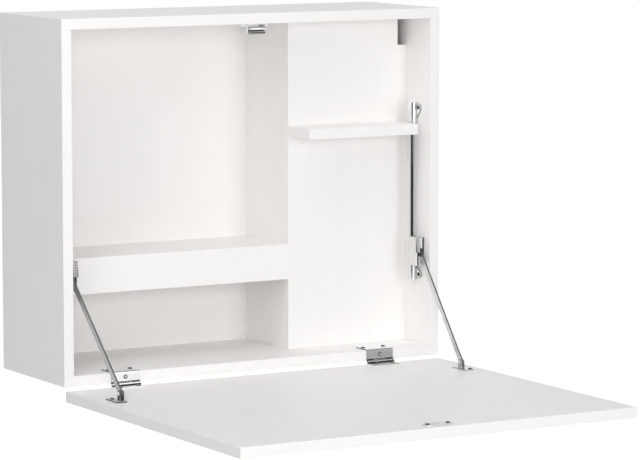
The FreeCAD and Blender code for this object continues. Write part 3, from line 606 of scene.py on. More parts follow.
def extruded(loops, low, high, edge, place, lean=0.0, steps=3, ring_gap=1.05):
    """Outlines pushed along the third axis of a frame; the first is the rim and the rest are holes.

    Between the ends the outlines run straight. Near each end they draw in along a quarter circle
    of the edge radius, by edge times one less the sine, while they rise by edge times one less the
    cosine. A second ring close to each quarter circle, ring_gap edges from the end, keeps the
    straight walls flat. The lean is a shift along the third axis for each unit along the first.
    """
    turn = np.linspace(0.0, math.pi / 2, steps + 1)
    depth = np.append(edge * (1 - np.sin(turn)), 0.0)
    rise = np.append(edge * (1 - np.cos(turn)), edge * ring_gap)
    heights = np.concatenate((low + rise, (high - rise)[::-1]))
    depths = np.concatenate((depth, depth[::-1]))
    vertices, faces, first, last, start = [], [], [], [], 0
    for loop in loops:
        count = len(loop)
        vertices += [np.column_stack((inset(loop, d), np.full(count, h))) for d, h in zip(depths, heights)]
        index = start + np.arange(len(heights) * count).reshape(len(heights), count)
        faces += wall_faces(index)
        first.append(index[0])
        last.append(index[-1])
        start += index.size
    ends = [inset(loop, depths[0]) for loop in loops]
    if len(loops) == 1:
        faces += [first[0][::-1].tolist(), last[0].tolist()]
    else:
        faces += caps(ends, first, False) + caps(ends, last, True)
    vertices = np.vstack(vertices)
    vertices[:, 2] += lean * vertices[:, 0]
    return placed(vertices, faces, place)


def rings_of(radius, turn, height):
    """Rings of points; radius, turn and height spread over a grid of rings and turns."""
    radius, turn, height = np.broadcast_arrays(radius, turn, height)
    return np.stack((radius * np.cos(turn), radius * np.sin(turn), height), -1)


def closed_rings(rings, start, end, place):
    """Rings joined by quads and closed by a fan to a pole at each end; the rings climb anticlockwise."""
    count, segments = rings.shape[:2]
    index = np.arange(count * segments).reshape(count, segments)
    after = np.roll(index, -1, 1)
    foot, top = count * segments, count * segments + 1
    faces = wall_faces(index)
    faces += [(foot, b, a) for a, b in zip(index[0], after[0])]
    faces += [(top, a, b) for a, b in zip(index[-1], after[-1])]
    vertices = np.vstack((rings.reshape(-1, 3), ((0.0, 0.0, start), (0.0, 0.0, end))))
    return placed(vertices, [tuple(map(int, face)) for face in faces], place)


def turned(profile, place, segments=40):
    """A profile of radius and height turned round the third axis; it starts and ends on the axis."""
    profile = np.asarray(profile, float)
    turn = np.arange(segments) * 2 * math.pi / segments
    rings = rings_of(profile[1:-1, :1], turn, profile[1:-1, 1:])
    return closed_rings(rings, profile[0, 1], profile[-1, 1], place)


def rim_arc(radius, height, edge, top=False, steps=5):
    """A quarter circle between a turned piece's end face and its wall, in climbing order."""
    turn = np.linspace(0.0, math.pi / 2, steps)
    out, rise = radius - edge + edge * np.sin(turn), edge * (1 - np.cos(turn))
    points = np.column_stack((out, height - rise if top else height + rise))
    return points[::-1] if top else points


# ---------------------------------------------------------------- screws, sheets and pieces

# Radii of the rings on a screw's head as shares of its own radius.
HEAD_RINGS = (0.06, 0.11, 0.17, 0.24, 0.32, 0.4, 0.48, 0.55, 0.6, 0.66, 0.76, 0.86, 0.93, 0.98, 1.0)
# A screw head is bright inside this share; its rim outside it takes the screw's dark material, painted shade
# on the hinge screws.
BRIGHT_SHARE = 0.65         # share of a screw head's radius inside which its metal is bright
RECESS_DEPTH = 0.62         # depth of the cross recess as a share of the head's height
PITCH, POINT, BLUNT_END = 1.3 * MM, 3.2 * MM, 0.1 * MM
PITCH_RINGS = 6             # rings of points to one pitch of the thread
NECK_PITCHES = 1.5          # plain neck below the head, in pitches
CORE_SHARE = 0.74           # radius of the thread's core as a share of its crest's
CREST_SLOPE, TAPER_POWER = 3, 0.7
SHARP_ANGLE, BROKEN_ANGLE = math.radians(40), math.radians(50)
BROKEN_SHARE = 1 / 6        # width of a bent sheet's broken edge as a share of its thickness


def screw_head(turn, radius, height, fall=0.9):
    """Rings of a flat domed head, from its middle out to its edge.

    The dome's height is the root of one less `fall` times the fourth power of the radius. The
    recess is two crossed slots with softened walls.
    """
    share = np.array(HEAD_RINGS)[:, None]
    across, along = np.abs(share * radius * np.cos(turn)), np.abs(share * radius * np.sin(turn))
    half_width, reach, wall = 0.15 * radius, 0.58 * radius, 0.06 * radius

    def slot(beside, ahead):
        """One inside a slot, nought outside, with a soft wall between."""
        inside = np.clip((half_width - beside) / wall + 0.5, 0, 1)
        return inside * np.clip((reach - ahead) / wall + 0.5, 0, 1)

    dome = height * np.sqrt(1 - fall * share ** 4)
    recess = RECESS_DEPTH * height * np.maximum(slot(across, along), slot(along, across))
    return rings_of(share * radius, turn, recess - dome)


def screw_shank(turn, radius, length):
    """Rings of a threaded shank, from the head down to its point.

    The radius swings between core and crest with the height plus the turn, one crest to a pitch,
    below a short plain neck, and narrows to a point.
    """
    depth = np.arange(0.0, length - BLUNT_END, PITCH / PITCH_RINGS)[:, None]
    phase = (depth / PITCH + turn / (2 * math.pi)) % 1.0
    crest = np.clip(1 - CREST_SLOPE * np.abs(phase - 0.5), 0, 1) * (depth > NECK_PITCHES * PITCH)
    taper = np.clip((length - depth) / POINT, 0, 1) ** TAPER_POWER
    return rings_of(radius * (CORE_SHARE + (1 - CORE_SHARE) * crest) * taper, turn, depth)


def screw_shape(size, seat, direction, segments=36):
    """A cross-recessed wood screw, driven at its seat in a direction, and marks of its dark faces.

    Dark are the head's rim, the middle of its recess and the shank. On the hinge screws the dark rim and
    recess are painted shade round a zinc head.
    """
    u = np.roll(np.abs(direction), 1)
    place = frame_of(seat, u, np.cross(direction, u), direction)
    turn = np.arange(segments) * 2 * math.pi / segments
    rings = np.concatenate((screw_head(turn, size.head_radius, size.head_height),
                            rings_of(size.head_radius, turn, np.zeros((1, 1))),
                            screw_shank(turn, size.shank_radius, size.length)))
    marks = np.ones((len(rings) - 1, segments), bool)
    marks[:np.count_nonzero(np.less(HEAD_RINGS, BRIGHT_SHARE)) - 1] = False
    marks = np.concatenate((marks.ravel(), np.ones(2 * segments, bool)))
    recess_floor = (RECESS_DEPTH - 1) * size.head_height
    return (*closed_rings(rings, recess_floor, size.length, place), marks)


def rolled_sheet(path, columns, kept, narrowing, place, shaded):
    """A bent sheet's middle surface: a path in the first two axes, carried along the third.

    `kept` says for each step of the path which columns stay. `narrowing` draws the columns
    towards the middle at each step, which rounds the sheet's corners. `shaded` marks the steps
    whose faces take painted shade.
    """
    middle = (columns[0] + columns[-1]) / 2
    spread = middle + (columns - middle)[None, :] * narrowing[:, None]
    grid = np.concatenate((np.repeat(path[:, None, :], len(columns), 1), spread[..., None]), -1)
    index = np.arange(grid.shape[0] * grid.shape[1]).reshape(grid.shape[:2])
    quads = np.stack((index[:-1, :-1], index[1:, :-1], index[1:, 1:], index[:-1, 1:]), -1)[kept]
    used, renumbered = np.unique(quads, return_inverse=True)
    marks = np.repeat(shaded[:, None], kept.shape[1], 1)[kept]
    return (*placed(grid.reshape(-1, 3)[used], renumbered.reshape(-1, 4).tolist(), place), marks)


def add_piece(name, stands_for, shells, material, dark=None, body=None):
    """A new object of several closed shells that stands for a CAD node, or rides on a body of its own.

    Faces that a shell marks take the dark material, and where it marks none, its walls, which are
    quads; in most pieces this dark material paints shade. Flat ends are shaded flat.
    """
    vertices, faces, marks, start = [], [], [], 0
    for points, shell_faces, *given in shells:
        vertices.append(points)
        faces += [tuple(start + i for i in face) for face in shell_faces]
        marks += [*given[0]] if given else [len(face) == 4 for face in shell_faces]
        start += len(points)
    mesh = bpy.data.meshes.new(name)
    mesh.from_pydata(np.vstack(vertices).tolist(), [], faces)
    mesh.materials.append(bpy.data.materials[material])
    if dark:
        mesh.materials.append(bpy.data.materials[dark])
        mesh.polygons.foreach_set("material_index", np.array(marks, np.int32))
    mesh.polygons.foreach_set("use_smooth", [len(face) == 4 for face in faces])
    mesh.set_sharp_from_angle(angle=SHARP_ANGLE)
    mesh.update()
    made = bpy.data.objects.new(name, mesh)
    bpy.context.scene.collection.objects.link(made)
    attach(made, body or NODES[stands_for]["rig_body"])
    if stands_for:
        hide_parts(stands_for)
    return made


def one_tone(shell, dark):
    """A shell whose faces are all dark, or none."""
    return (*shell, np.full(len(shell[1]), dark))


# ---------------------------------------------------------------- hinges

RUN_STEPS = 5
END_COLUMNS, MIDDLE_COLUMNS = 4, 8
# Where a rolled knuckle starts and ends round its pin, in degrees, and the count of its points.
PLATE_ROLL, LEAF_ROLL = (12, -255, 26), (-98, 205, 30)


def strip(*points):
    """Rows of a path between the given points, with the same count of steps to each run."""
    runs = [np.linspace(a, b, RUN_STEPS + 1)[:-1] for a, b in zip(points[:-1], points[1:])]
    return np.vstack(runs + [np.asarray(points[-1])[None]])


def corner_rows(corner, half, steps=6):
    """Distances from a sheet's end and shares of its width that round its corners."""
    turn = np.linspace(0.0, math.pi / 2, steps)
    return corner * (1 - np.cos(turn)), 1 - corner / half * (1 - np.sin(turn))


def hinge_columns(left, right, knuckle):
    """Columns across a hinge, with a line at each end of the middle knuckle."""
    low, high = left + knuckle, right - knuckle
    return np.concatenate((np.linspace(left, low, END_COLUMNS + 1),
                           np.linspace(low, high, MIDDLE_COLUMNS + 1)[1:],
                           np.linspace(high, right, END_COLUMNS + 1)[1:]))


def outside_painted_highlight(size, middles, axis):
    """Marks the steps of a path that lie outside the barrel's painted highlight band, which take painted
    shade.
    """
    level = (middles[:, 1] - axis.y) / size.barrel_radius
    return np.abs(level - np.mean(size.highlight_band)) > np.ptp(size.highlight_band) / 2


def hinge_half(size, name, stands_for, path, curl, ends, knuckle, outer, shares, shaded, steel):
    """Half a hinge from sheet: a flat part, then knuckles at its outer ends or at its middle."""
    columns = hinge_columns(*ends, knuckle)
    at_end = np.ones(len(columns) - 1, bool)
    at_end[END_COLUMNS:-END_COLUMNS] = False
    kept = np.ones((len(path) - 1, len(at_end)), bool)
    kept[-len(curl):] = at_end == outer
    narrowing = np.concatenate((shares, np.ones(len(path) - len(shares))))
    shell = rolled_sheet(path, columns, kept, narrowing, side_place(0.0, 1), shaded)
    made = add_piece(name, stands_for, [shell], steel, "Hinge seam")
    solid = made.modifiers.new("Thickness", "SOLIDIFY")
    solid.thickness = size.thickness
    solid.offset = 0.0
    solid.use_even_offset = True
    # The plate's edges take the painted hinge shade; the leaf's edges keep the steel.
    solid.material_offset_rim = int(outer)
    edge = made.modifiers.new("Broken edges", "BEVEL")
    edge.width = size.thickness * BROKEN_SHARE
    edge.segments = 2
    edge.limit_method = "ANGLE"
    edge.angle_limit = BROKEN_ANGLE
    edge.harden_normals = True


def hinge_seat(side):
    """A hinge's ends along X, and its pin's axis in the plane of Y and Z."""
    low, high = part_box(f"hinge_pin_{side}")
    return (low.x, high.x), ((low + high) / 2).yz


def bend_plate(size, side, steel, bend_steps=7):
    """The plate: a tab on the bottom panel, a bend down its front edge and the two outer knuckles.

    Painted shade darkens the knuckles outside their painted highlight band, the seam above them and a line
    in the bend.
    """
    ends, axis = hinge_seat(side)
    front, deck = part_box("bottom_panel")[0].y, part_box("bottom_panel")[1].z
    half_sheet = size.thickness / 2
    draw, shares = corner_rows(size.corner_radius, (ends[1] - ends[0]) / 2)
    back, top, nose = front + size.tab_length, deck + half_sheet, front - half_sheet
    tab = np.column_stack((back - draw, np.full(len(draw), top)))
    radius = size.bend_radius + half_sheet
    bend = arc((nose + radius, top - radius), radius, 90, 180, bend_steps)
    notch = axis.y + size.barrel_radius + size.barrel_gap
    seam = (nose, notch + size.seam_shade_height)
    curl = arc(axis, size.barrel_radius - half_sheet, *PLATE_ROLL)
    path = np.vstack((tab, strip(tab[-1], bend[0])[1:], bend[1:], strip(bend[-1], seam, (nose, notch))[1:],
                      curl))
    middles = (path[1:] + path[:-1]) / 2
    # Painted shade on the seam and on the knuckles outside the painted highlight band, and a line of it in
    # the middle of the bend.
    shaded = outside_painted_highlight(size, middles, axis) & (middles[:, 1] < seam[1])
    painted_crease = len(tab) - 1 + RUN_STEPS + bend_steps // 2
    shaded[painted_crease - 1:painted_crease + 1] = True
    hinge_half(size, f"hinge_plate_bent_{side}", f"hinge_plate_{side}", path, curl, ends,
               size.knuckle_length, True, shares, shaded, steel)


def bend_leaf(size, side, steel):
    """The leaf: a flat part on the flap and the middle knuckle, with painted shade outside its painted
    highlight band.
    """
    ends, axis = hinge_seat(side)
    half_sheet = size.thickness / 2
    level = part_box("flap_panel")[1].z + half_sheet
    draw, shares = corner_rows(size.corner_radius, (ends[1] - ends[0]) / 2)
    leaf = np.column_stack((axis.x - size.leaf_length + draw, np.full(len(draw), level)))
    shoulder = (axis.x - size.barrel_radius - size.barrel_gap, level)
    curl = arc(axis, size.barrel_radius - half_sheet, *LEAF_ROLL)
    path = np.vstack((leaf, strip(leaf[-1], shoulder)[1:], curl))
    middles = (path[1:] + path[:-1]) / 2
    # Painted shade on the knuckle outside the painted highlight band.
    shaded = outside_painted_highlight(size, middles, axis) & (middles[:, 0] > shoulder[0])
    hinge_half(size, f"hinge_leaf_bent_{side}", f"hinge_leaf_{side}", path, curl, ends,
               size.knuckle_length + size.knuckle_gap, False, shares, shaded, steel)


class WALLDESK_OT_fold_hinges(bpy.types.Operator):
    """Bends the hinge plates and leaves from sheet, with their knuckles rolled round the pins"""

    bl_idname = "walldesk.fold_hinges"
    bl_label = "Fold hinges"

    def execute(self, context):
        size = context.scene.desk_hinges
        # The left hinge takes the steel painted lighter, the right one the plain satin steel.
        for side, steel in (("left", "Light satin steel"), ("right", "Satin steel")):
            bend_plate(size, side, steel)
            bend_leaf(size, side, steel)
        return {"FINISHED"}


# ---------------------------------------------------------------- stays

def bracket_cup(size, level, rod_foot, rod_top, radius):
    """Profile of a bracket's cup, open above at the rod's foot and open below at the rod's top."""
    bore, outer = radius + size.fit, size.cup_radius
    if level == "lower":
        foot, top = rod_foot - size.floor, rod_foot - size.floor + size.lower_cup
        wall = rim_arc(outer, foot, size.rim), rim_arc(outer, top, size.rim, True)
        return np.vstack(((0, foot), *wall, (bore, top), (bore, rod_foot), (0, rod_foot)))
    foot, top = rod_top + size.floor - size.upper_cup, rod_top + size.floor
    wall = rim_arc(outer, foot, size.rim), rim_arc(outer, top, size.rim, True)
    return np.vstack(((0, rod_top), (bore, rod_top), (bore, foot), *wall, (0, top)))


def ears(size, side):
    """For each bracket of a rod: its level's name, its ear's centre in Y and Z, and the way to its screw."""
    low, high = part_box(f"guide_rod_{side}")
    y = (low.y + high.y) / 2
    for level, turn, z in (("lower", size.lower_turn, low.z - size.floor + size.lower_rise),
                           ("upper", size.upper_turn, high.z + size.floor - size.upper_drop)):
        yield level, np.array((y, z)), size.ear_reach * np.array((math.cos(turn), math.sin(turn)))


def inner_face(side, sign):
    """Place along X of the inner face of a side board."""
    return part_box(f"{side}_side")[0 if sign > 0 else 1].x


class WALLDESK_OT_mount_rods(bpy.types.Operator):
    """Turns the guide rods and the cups of their brackets, and cuts the brackets' ears"""

    bl_idname = "walldesk.mount_rods"
    bl_label = "Mount rods"

    def execute(self, context):
        size = context.scene.desk_stays
        for side, sign in SIDES.items():
            low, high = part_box(f"guide_rod_{side}")
            axis = (low + high) / 2
            radius = (high.y - low.y) / 2
            upright = plan_place(1, axis.x, axis.y)
            rod = np.vstack(((0, low.z), rim_arc(radius, low.z, size.rim),
                             rim_arc(radius, high.z, size.rim, True), (0, high.z)))
            add_piece(f"guide_rod_turned_{side}", f"guide_rod_{side}", [turned(rod, upright)],
                      "Polished steel")
            for level, centre, reach in ears(size, side):
                outline = link_outline(centre, size.ear_radius, centre + reach, size.ear_tip)
                ear = extruded([outline], -size.ear_thickness, 0.0, size.edge,
                               side_place(inner_face(side, sign), sign))
                cup = turned(bracket_cup(size, level, low.z, high.z, radius), upright)
                add_piece(f"rod_{level}_bracket_formed_{side}", f"rod_{level}_bracket_{side}",
                          [one_tone(cup, False), ear], "Cup steel", "Bracket steel")
        return {"FINISHED"}


def slider_plan(size, side, sign):
    """Measures of a slider; places along X are counted outward from the middle of the desk."""
    low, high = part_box(f"slider_housing_{side}")
    rod_low, rod_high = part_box(f"guide_rod_{side}")
    pad_low, pad_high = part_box(f"brake_insert_{side}")
    bush = centre_of(f"arm_bush_{side}")
    inner, outer = sorted((sign * low.x, sign * high.x))
    brake = sign * (pad_low.x + pad_high.x) / 2
    channel = brake - size.channel_offset
    return SimpleNamespace(
        inner=inner, outer=outer, nose=low.y, foot=low.z, top=high.z, pivot=bush.z,
        rod=(sign * (rod_low.x + rod_high.x) / 2, (rod_low.y + rod_high.y) / 2),
        bore=(rod_high.y - rod_low.y) / 2 + size.fit,
        brake=brake, channel=(channel - size.channel_half, channel + size.channel_half),
        channel_end=pad_high.y, brake_foot=pad_low.z, brake_top=pad_high.z,
        slot=(sign * bush.x - size.slot_inner, sign * bush.x + size.slot_outer),
        slot_end=low.y + size.slot_depth)


def mould_housing(size, plan, side, sign):
    """The housing: a block with a bore, the pad's channel and the arm's slot, closed above the arm."""
    hub = arc(plan.rod, size.cup_radius, 0, 180, EYE_STEPS)
    notches = [((left, plan.nose), (left, end), (right, end), (right, plan.nose))
               for (left, right), end in ((plan.channel, plan.channel_end), (plan.slot, plan.slot_end))]
    corners = [(plan.inner, plan.nose), *notches[0], *notches[1], (plan.outer, plan.nose), *hub,
               (plan.inner, plan.rod[1])]
    radii = [size.corner_radius, *[size.edge] * 8, size.corner_radius, *np.zeros(len(hub)), size.edge]
    housing = extruded([rounded(corners, radii), hole(plan.rod, plan.bore)], plan.foot, plan.top, size.edge,
                       plan_place(sign))
    seam = size.seam
    left, right = plan.slot[0] - seam, plan.slot[1] + seam
    filler = block_outline((left, plan.nose), (right, plan.slot_end + seam), seam)
    closing = extruded([filler], plan.pivot + size.slot_top, plan.top - size.edge, seam, plan_place(sign))
    add_piece(f"slider_housing_moulded_{side}", f"slider_housing_{side}", [housing, closing],
              "Grey moulding")


def fit_shade_strip(size, plan, side, sign):
    """A dark strip beside the slot that paints the shade of the gap there."""
    seam = size.seam
    shade_strip_outline = block_outline((plan.slot[1], plan.nose - 2 * seam),
                         (plan.slot[1] + size.shade_strip_width, plan.nose + 2 * size.edge), seam)
    shell = extruded([shade_strip_outline], plan.pivot - size.shade_strip_drop, plan.top - seam, seam, plan_place(sign))
    add_piece(f"slider_guide_{side}", None, [shell], "Dark plating", body=f"slider_{side}")


TOOTH = ((0, 0.25), (0, -0.05), (1, -0.2), (1, -0.55))     # depth in tooth depths, height in pitches


def cut_brake(size, plan, side, sign):
    """The brake insert: a comb of teeth over a rubber wedge, and the pad behind the wedge, whose dark line
    below the wedge paints the slot's shade.
    """
    seam, pitch = size.seam, size.tooth_pitch
    wedge_top = plan.brake_foot + size.wedge_height
    front, rear = plan.nose - size.brake_front, plan.nose + size.edge
    levels = np.arange(wedge_top + pitch / 2, plan.brake_top - pitch / 2, pitch)[::-1]
    teeth = [(front + size.tooth_depth * depth, level + rise * pitch)
             for level in levels for depth, rise in TOOTH]
    comb = np.array([(rear, wedge_top), (rear, plan.brake_top), (front, plan.brake_top), *teeth,
                     (front, wedge_top)])
    place = side_place(sign * plan.brake, sign)
    half = size.brake_width / 2
    add_piece(f"brake_comb_{side}", f"brake_insert_{side}", [extruded([comb], -half, half, seam, place)],
              "Brake teeth")
    outline = rounded([(front, wedge_top), (front, plan.brake_foot), (rear, plan.brake_foot),
                       (rear, wedge_top)], seam)
    wedge = extruded([outline], plan.channel[0] - plan.brake,
                     plan.channel[1] + size.wedge_reach - plan.brake, seam, place)
    pad = block_outline((plan.channel[0], plan.nose + seam), (plan.channel[1], plan.channel_end), seam)
    # The pad below the wedge paints the shade of the arm's slot.
    slot_shade_pad = extruded([pad], plan.foot + size.edge, wedge_top, seam, plan_place(sign))
    add_piece(f"brake_wedge_{side}", f"brake_insert_{side}", [wedge, slot_shade_pad], "Brake rubber")


class WALLDESK_OT_mould_sliders(bpy.types.Operator):
    """Moulds the slider housings with slot, bore and groove, and cuts the toothed brake inserts"""

    bl_idname = "walldesk.mould_sliders"
    bl_label = "Mould sliders"

    def execute(self, context):
        size = context.scene.desk_stays
        for side, sign in SIDES.items():
            plan = slider_plan(size, side, sign)
            mould_housing(size, plan, side, sign)
            fit_shade_strip(size, plan, side, sign)
            cut_brake(size, plan, side, sign)
        return {"FINISHED"}


def arm_outline(size, span, eye_steps=14, neck_steps=8):
    """A flat arm's outline: an eye at each end and a narrower strip between, with smooth necks."""
    eye, waist = size.eye_radius, size.arm_waist
    blend = np.linspace(0.0, 1.0, neck_steps + 1)[1:]
    neck = eye + (waist - eye) * blend ** 2 * (3 - 2 * blend)
    reach = size.neck_length * blend
    half = np.vstack((arc((0, 0), eye, 180, 90, eye_steps), np.column_stack((reach, neck)),
                      np.column_stack((span - reach[::-1], neck[::-1])),
                      arc((span, 0), eye, 90, 0, eye_steps)))
    return np.vstack((half[::-1], half[1:-1] * (1, -1)))


def cut_arm(size, side, pin, shaft, steel):
    """The arm: a strip with a hole in each eye, which leans evenly from the pin to its upper pivot."""
    low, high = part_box(f"arm_bush_{side}")
    bush = (low + high) / 2
    run = np.array((bush.y - pin.y, bush.z - pin.z))
    span = np.linalg.norm(run)
    along = run / span
    place = frame_of(pin, (0, *along), (0, -along[1], along[0]), (1, 0, 0))
    loops = [arm_outline(size, span), hole((0, 0), shaft + size.fit), hole((span, 0), (high.z - low.z) / 2)]
    half = size.arm_thickness / 2
    arm = extruded(loops, -half, half, size.seam * 2, place, (bush.x - pin.x) / span)
    # The arm's edges are dark: partly cut steel, partly painted shade.
    add_piece(f"stay_arm_cut_{side}", f"stay_arm_{side}", [arm], steel, "Sheared edge")


def form_bracket(size, side, pin, shaft, gap, cheek_tone):
    """The bracket on the flap: a base with rounded corners and a cheek with an eyelet at each side."""
    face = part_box("flap_panel")[1].z
    low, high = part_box(f"stay_bracket_{side}")
    edge, radius, rise = size.edge / 2, size.cheek_radius, pin.z - face
    base = extruded([block_outline(low.xy, high.xy, size.bracket_corner)], 0.0, size.sheet, edge,
                    plan_place(1, z=face))
    lug = np.vstack(((-radius, edge), (radius, edge), arc((0, rise), radius, 0, 180, EYE_STEPS)))
    upright = frame_of((pin.x, pin.y, face), (0, 1, 0), (0, 0, 1), (1, 0, 0))
    cheeks = [extruded([lug, hole((0, rise), shaft)], *sorted((end * gap, end * (gap + size.sheet))), edge,
                       upright) for end in (-1, 1)]
    # The base's edges and the cheeks take painted shade on the left bracket and bracket steel on the right.
    add_piece(f"stay_bracket_formed_{side}", f"stay_bracket_{side}",
              [base, *(one_tone(cheek, True) for cheek in cheeks)], "Bright steel", cheek_tone)


def rivet_pin(size, side, pin, head, shaft, width, steps=8, shoulder=0.35):
    """The pin: a shaft between two low domes; `shoulder` is the dome's height at its rim."""
    rise = size.head_height
    dome = [(head * math.sin(t), -width - rise * (shoulder + (1 - shoulder) * math.cos(t)))
            for t in np.linspace(0.0, math.pi / 2, steps)]
    profile = [*dome, (head, -width), (shaft, -width), (shaft, width), (head, width),
               *((r, -h) for r, h in dome[::-1])]
    place = frame_of(pin, (0, 1, 0), (0, 0, 1), (1, 0, 0))
    add_piece(f"stay_pin_riveted_{side}", f"stay_pin_{side}", [turned(profile, place)], "Polished steel")


class WALLDESK_OT_cut_arms(bpy.types.Operator):
    """Cuts the stay arms from strip, with wider eyes, and forms the brackets on the flap and their pins"""

    bl_idname = "walldesk.cut_arms"
    bl_label = "Cut arms"

    def execute(self, context):
        size = context.scene.desk_stays
        gap = size.arm_thickness / 2 + size.cheek_gap
        # The right arm is painted lighter than the left one, and the left bracket's cheeks take painted
        # shade.
        for side, arm_tone, cheek_tone in (("left", "Arm steel", "Sheared edge"),
                                             ("right", "Light arm steel", "Bracket steel")):
            low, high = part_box(f"stay_pin_{side}")
            pin, head = (low + high) / 2, (high.z - low.z) / 2
            shaft = head * size.shaft_share
            cut_arm(size, side, pin, shaft, arm_tone)
            form_bracket(size, side, pin, shaft, gap, cheek_tone)
            rivet_pin(size, side, pin, head, shaft, gap + size.sheet)
        return {"FINISHED"}


# ---------------------------------------------------------------- catch and screws

def mould_body(size, levels, reach):
    """The catch's body with a slot for each pole plate, and an ear at each side."""
    low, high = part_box("catch_body")
    half = high.x - size.ear_width
    play, sheet, corner = size.play, size.pole_thickness, size.corner_radius
    front_view = frame_of((0, 0, 0), (1, 0, 0), (0, 0, 1), (0, 1, 0))
    slots = [block_outline((-reach - play, level - play), (reach + play, level + sheet + play), play)[::-1]
             for level in levels]
    outline = block_outline((-half, low.z), (half, high.z), corner)
    body = extruded([outline, *slots], low.y, high.y, size.edge, front_view)
    middle = (low.y + high.y) / 2
    ear = block_outline((half - corner * 2, middle - size.ear_depth / 2),
                        (high.x, middle + size.ear_depth / 2), corner * 2)
    lugs = [extruded([ear], high.z - size.ear_thickness, high.z, size.edge, plan_place(sign))
            for sign in SIDES.values()]
    add_piece("catch_body_moulded", "catch_body", [body, *lugs], "White moulding")


class WALLDESK_OT_mould_catch(bpy.types.Operator):
    """Moulds the catch's body with its ears and slots, and cuts the pole plates and the strike plate"""

    bl_idname = "walldesk.mould_catch"
    bl_label = "Mould catch"

    def execute(self, context):
        size = context.scene.desk_catch
        low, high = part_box("catch_pole_plates")
        reach, sheet = high.x, size.pole_thickness
        levels = (low.z, high.z - sheet)
        mould_body(size, levels, reach)
        # The lower plate's edges take painted shade; the upper plate is cup steel all over.
        lower, upper = (extruded([block_outline((-reach, low.y), (reach, high.y), size.edge)],
                                 level, level + sheet, sheet / 5, plan_place(1)) for level in levels)
        add_piece("catch_poles_cut", "catch_pole_plates", [lower, one_tone(upper, False)], "Cup steel",
                  "Pole steel")

        low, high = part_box("strike_plate")
        radius, y = (high.y - low.y) / 2, (low.y + high.y) / 2
        outline = link_outline((low.x + radius, y), radius, (high.x - radius, y), radius)
        plate = extruded([outline], low.z, high.z, (high.z - low.z) / 3, plan_place(1))
        add_piece("strike_plate_cut", "strike_plate", [plate], "Strike steel")
        return {"FINISHED"}


DOWN, BACK, UP = (0, 0, -1), (0, 1, 0), (0, 0, 1)
HINGE_SCREW_PLACE = 0.6     # place of the hinges' screws as a share of the tab's and the leaf's reach
EDGE_SCREW_LEVEL = 0.57     # level of the plate's front screw as a share of the bottom panel's thickness


def hinge_seats(size, side):
    """Seats and directions of a hinge's screws: three in the plate, two in the leaf."""
    low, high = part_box("bottom_panel")
    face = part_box("flap_panel")[1].z + size.thickness
    hinge = centre_of(f"hinge_pin_{side}")
    tab_y = low.y + size.tab_length * HINGE_SCREW_PLACE
    leaf_y = hinge.y - size.leaf_length * HINGE_SCREW_PLACE
    deck = high.z + size.thickness
    plate = [((hinge.x + end * size.plate_spacing / 2, tab_y, deck), DOWN) for end in (-1, 1)]
    leaf = [((hinge.x + end * size.leaf_spacing / 2, leaf_y, face), DOWN) for end in (-1, 1)]
    level = low.z + (high.z - low.z) * EDGE_SCREW_LEVEL
    return {"hinge_plate_screws": [*plate, ((hinge.x, low.y - size.thickness, level), BACK)],
            "hinge_leaf_screws": leaf}


def stay_seats(size, side, sign):
    """Seats and directions of a stay's screws: one in the flap's bracket, one in each ear."""
    pin = centre_of(f"stay_pin_{side}")
    seat = (pin.x + sign * size.bracket_screw_offset, pin.y - sign * size.bracket_reach,
            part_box("flap_panel")[1].z + size.sheet)
    x = inner_face(side, sign) - sign * size.ear_thickness
    rods = [((x, *(centre + reach)), (sign, 0, 0)) for _, centre, reach in ears(size, side)]
    return {"stay_bracket_screws": [(seat, DOWN)], "rod_bracket_screws": rods}


def catch_seats(size, sign):
    """Seats and directions of the screws at one side of the catch and of the strike plate."""
    low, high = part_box("strike_plate")
    strike = (sign * size.strike_spacing / 2, (low.y + high.y) / 2, high.z)
    low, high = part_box("catch_body")
    ear = (sign * (high.x - size.ear_width / 2), (low.y + high.y) / 2, high.z - size.ear_thickness)
    return {"strike_screws": [(strike, DOWN)], "catch_screws": [(ear, UP)]}


class WALLDESK_OT_drive_screws(bpy.types.Operator):
    """Drives the cross-recessed screws of hinges, stays, rod brackets, catch and strike plate"""

    bl_idname = "walldesk.drive_screws"
    bl_label = "Drive screws"

    def execute(self, context):
        scene = context.scene
        seats = {}
        for side, sign in SIDES.items():
            for found in (hinge_seats(scene.desk_hinges, side), stay_seats(scene.desk_stays, side, sign),
                          catch_seats(scene.desk_catch, sign)):
                for name, places in found.items():
                    seats.setdefault(name, []).extend(places)
        for name, places in seats.items():
            plating = NODES[name].data.materials[0].name
            # A hinge screw's head is zinc, and the dark plating on its rim and recess is painted shade.
            head = "Zinc" if name.startswith("hinge") else plating
            shells = [screw_shape(scene.desk_screws, *place) for place in places]
            add_piece(f"{name}_driven", name, shells, head, plating)
        return {"FINISHED"}


# ---------------------------------------------------------------- stage

# Place of each lamp and width of its square; its power is the stage's setting of the same name.
LAMPS = {
    "front": ((0.3, -2.6, 2.8), 2.4),
    "low": ((-1.9, -4.1, 0.45), 1.2),
    "top": ((0.0, -0.8, 3.4), 3.0),
    "left": ((-3.0, -2.6, 1.6), 1.5),
    "above": ((-1.6, -1.2, 2.6), 1.5),
    "near": ((0.6, -4.2, 0.5), 1.2),
}
LAMP_TARGET = (0.0, -0.2, 0.0)
WHITE = (1.0, 1.0, 1.0, 1.0)
FLOOR_ROUGHNESS = 0.9
SENSOR_WIDTH, FAR_CLIP = 36.0, 100.0


def seen_ray(tree):
    """One for camera, glossy and transmission rays, nought for the rest."""
    ray = tree.nodes.new("ShaderNodeLightPath").outputs
    seen = worked_out(tree, "MAXIMUM", ray["Is Camera Ray"], ray["Is Glossy Ray"])
    return worked_out(tree, "MAXIMUM", seen, ray["Is Transmission Ray"])


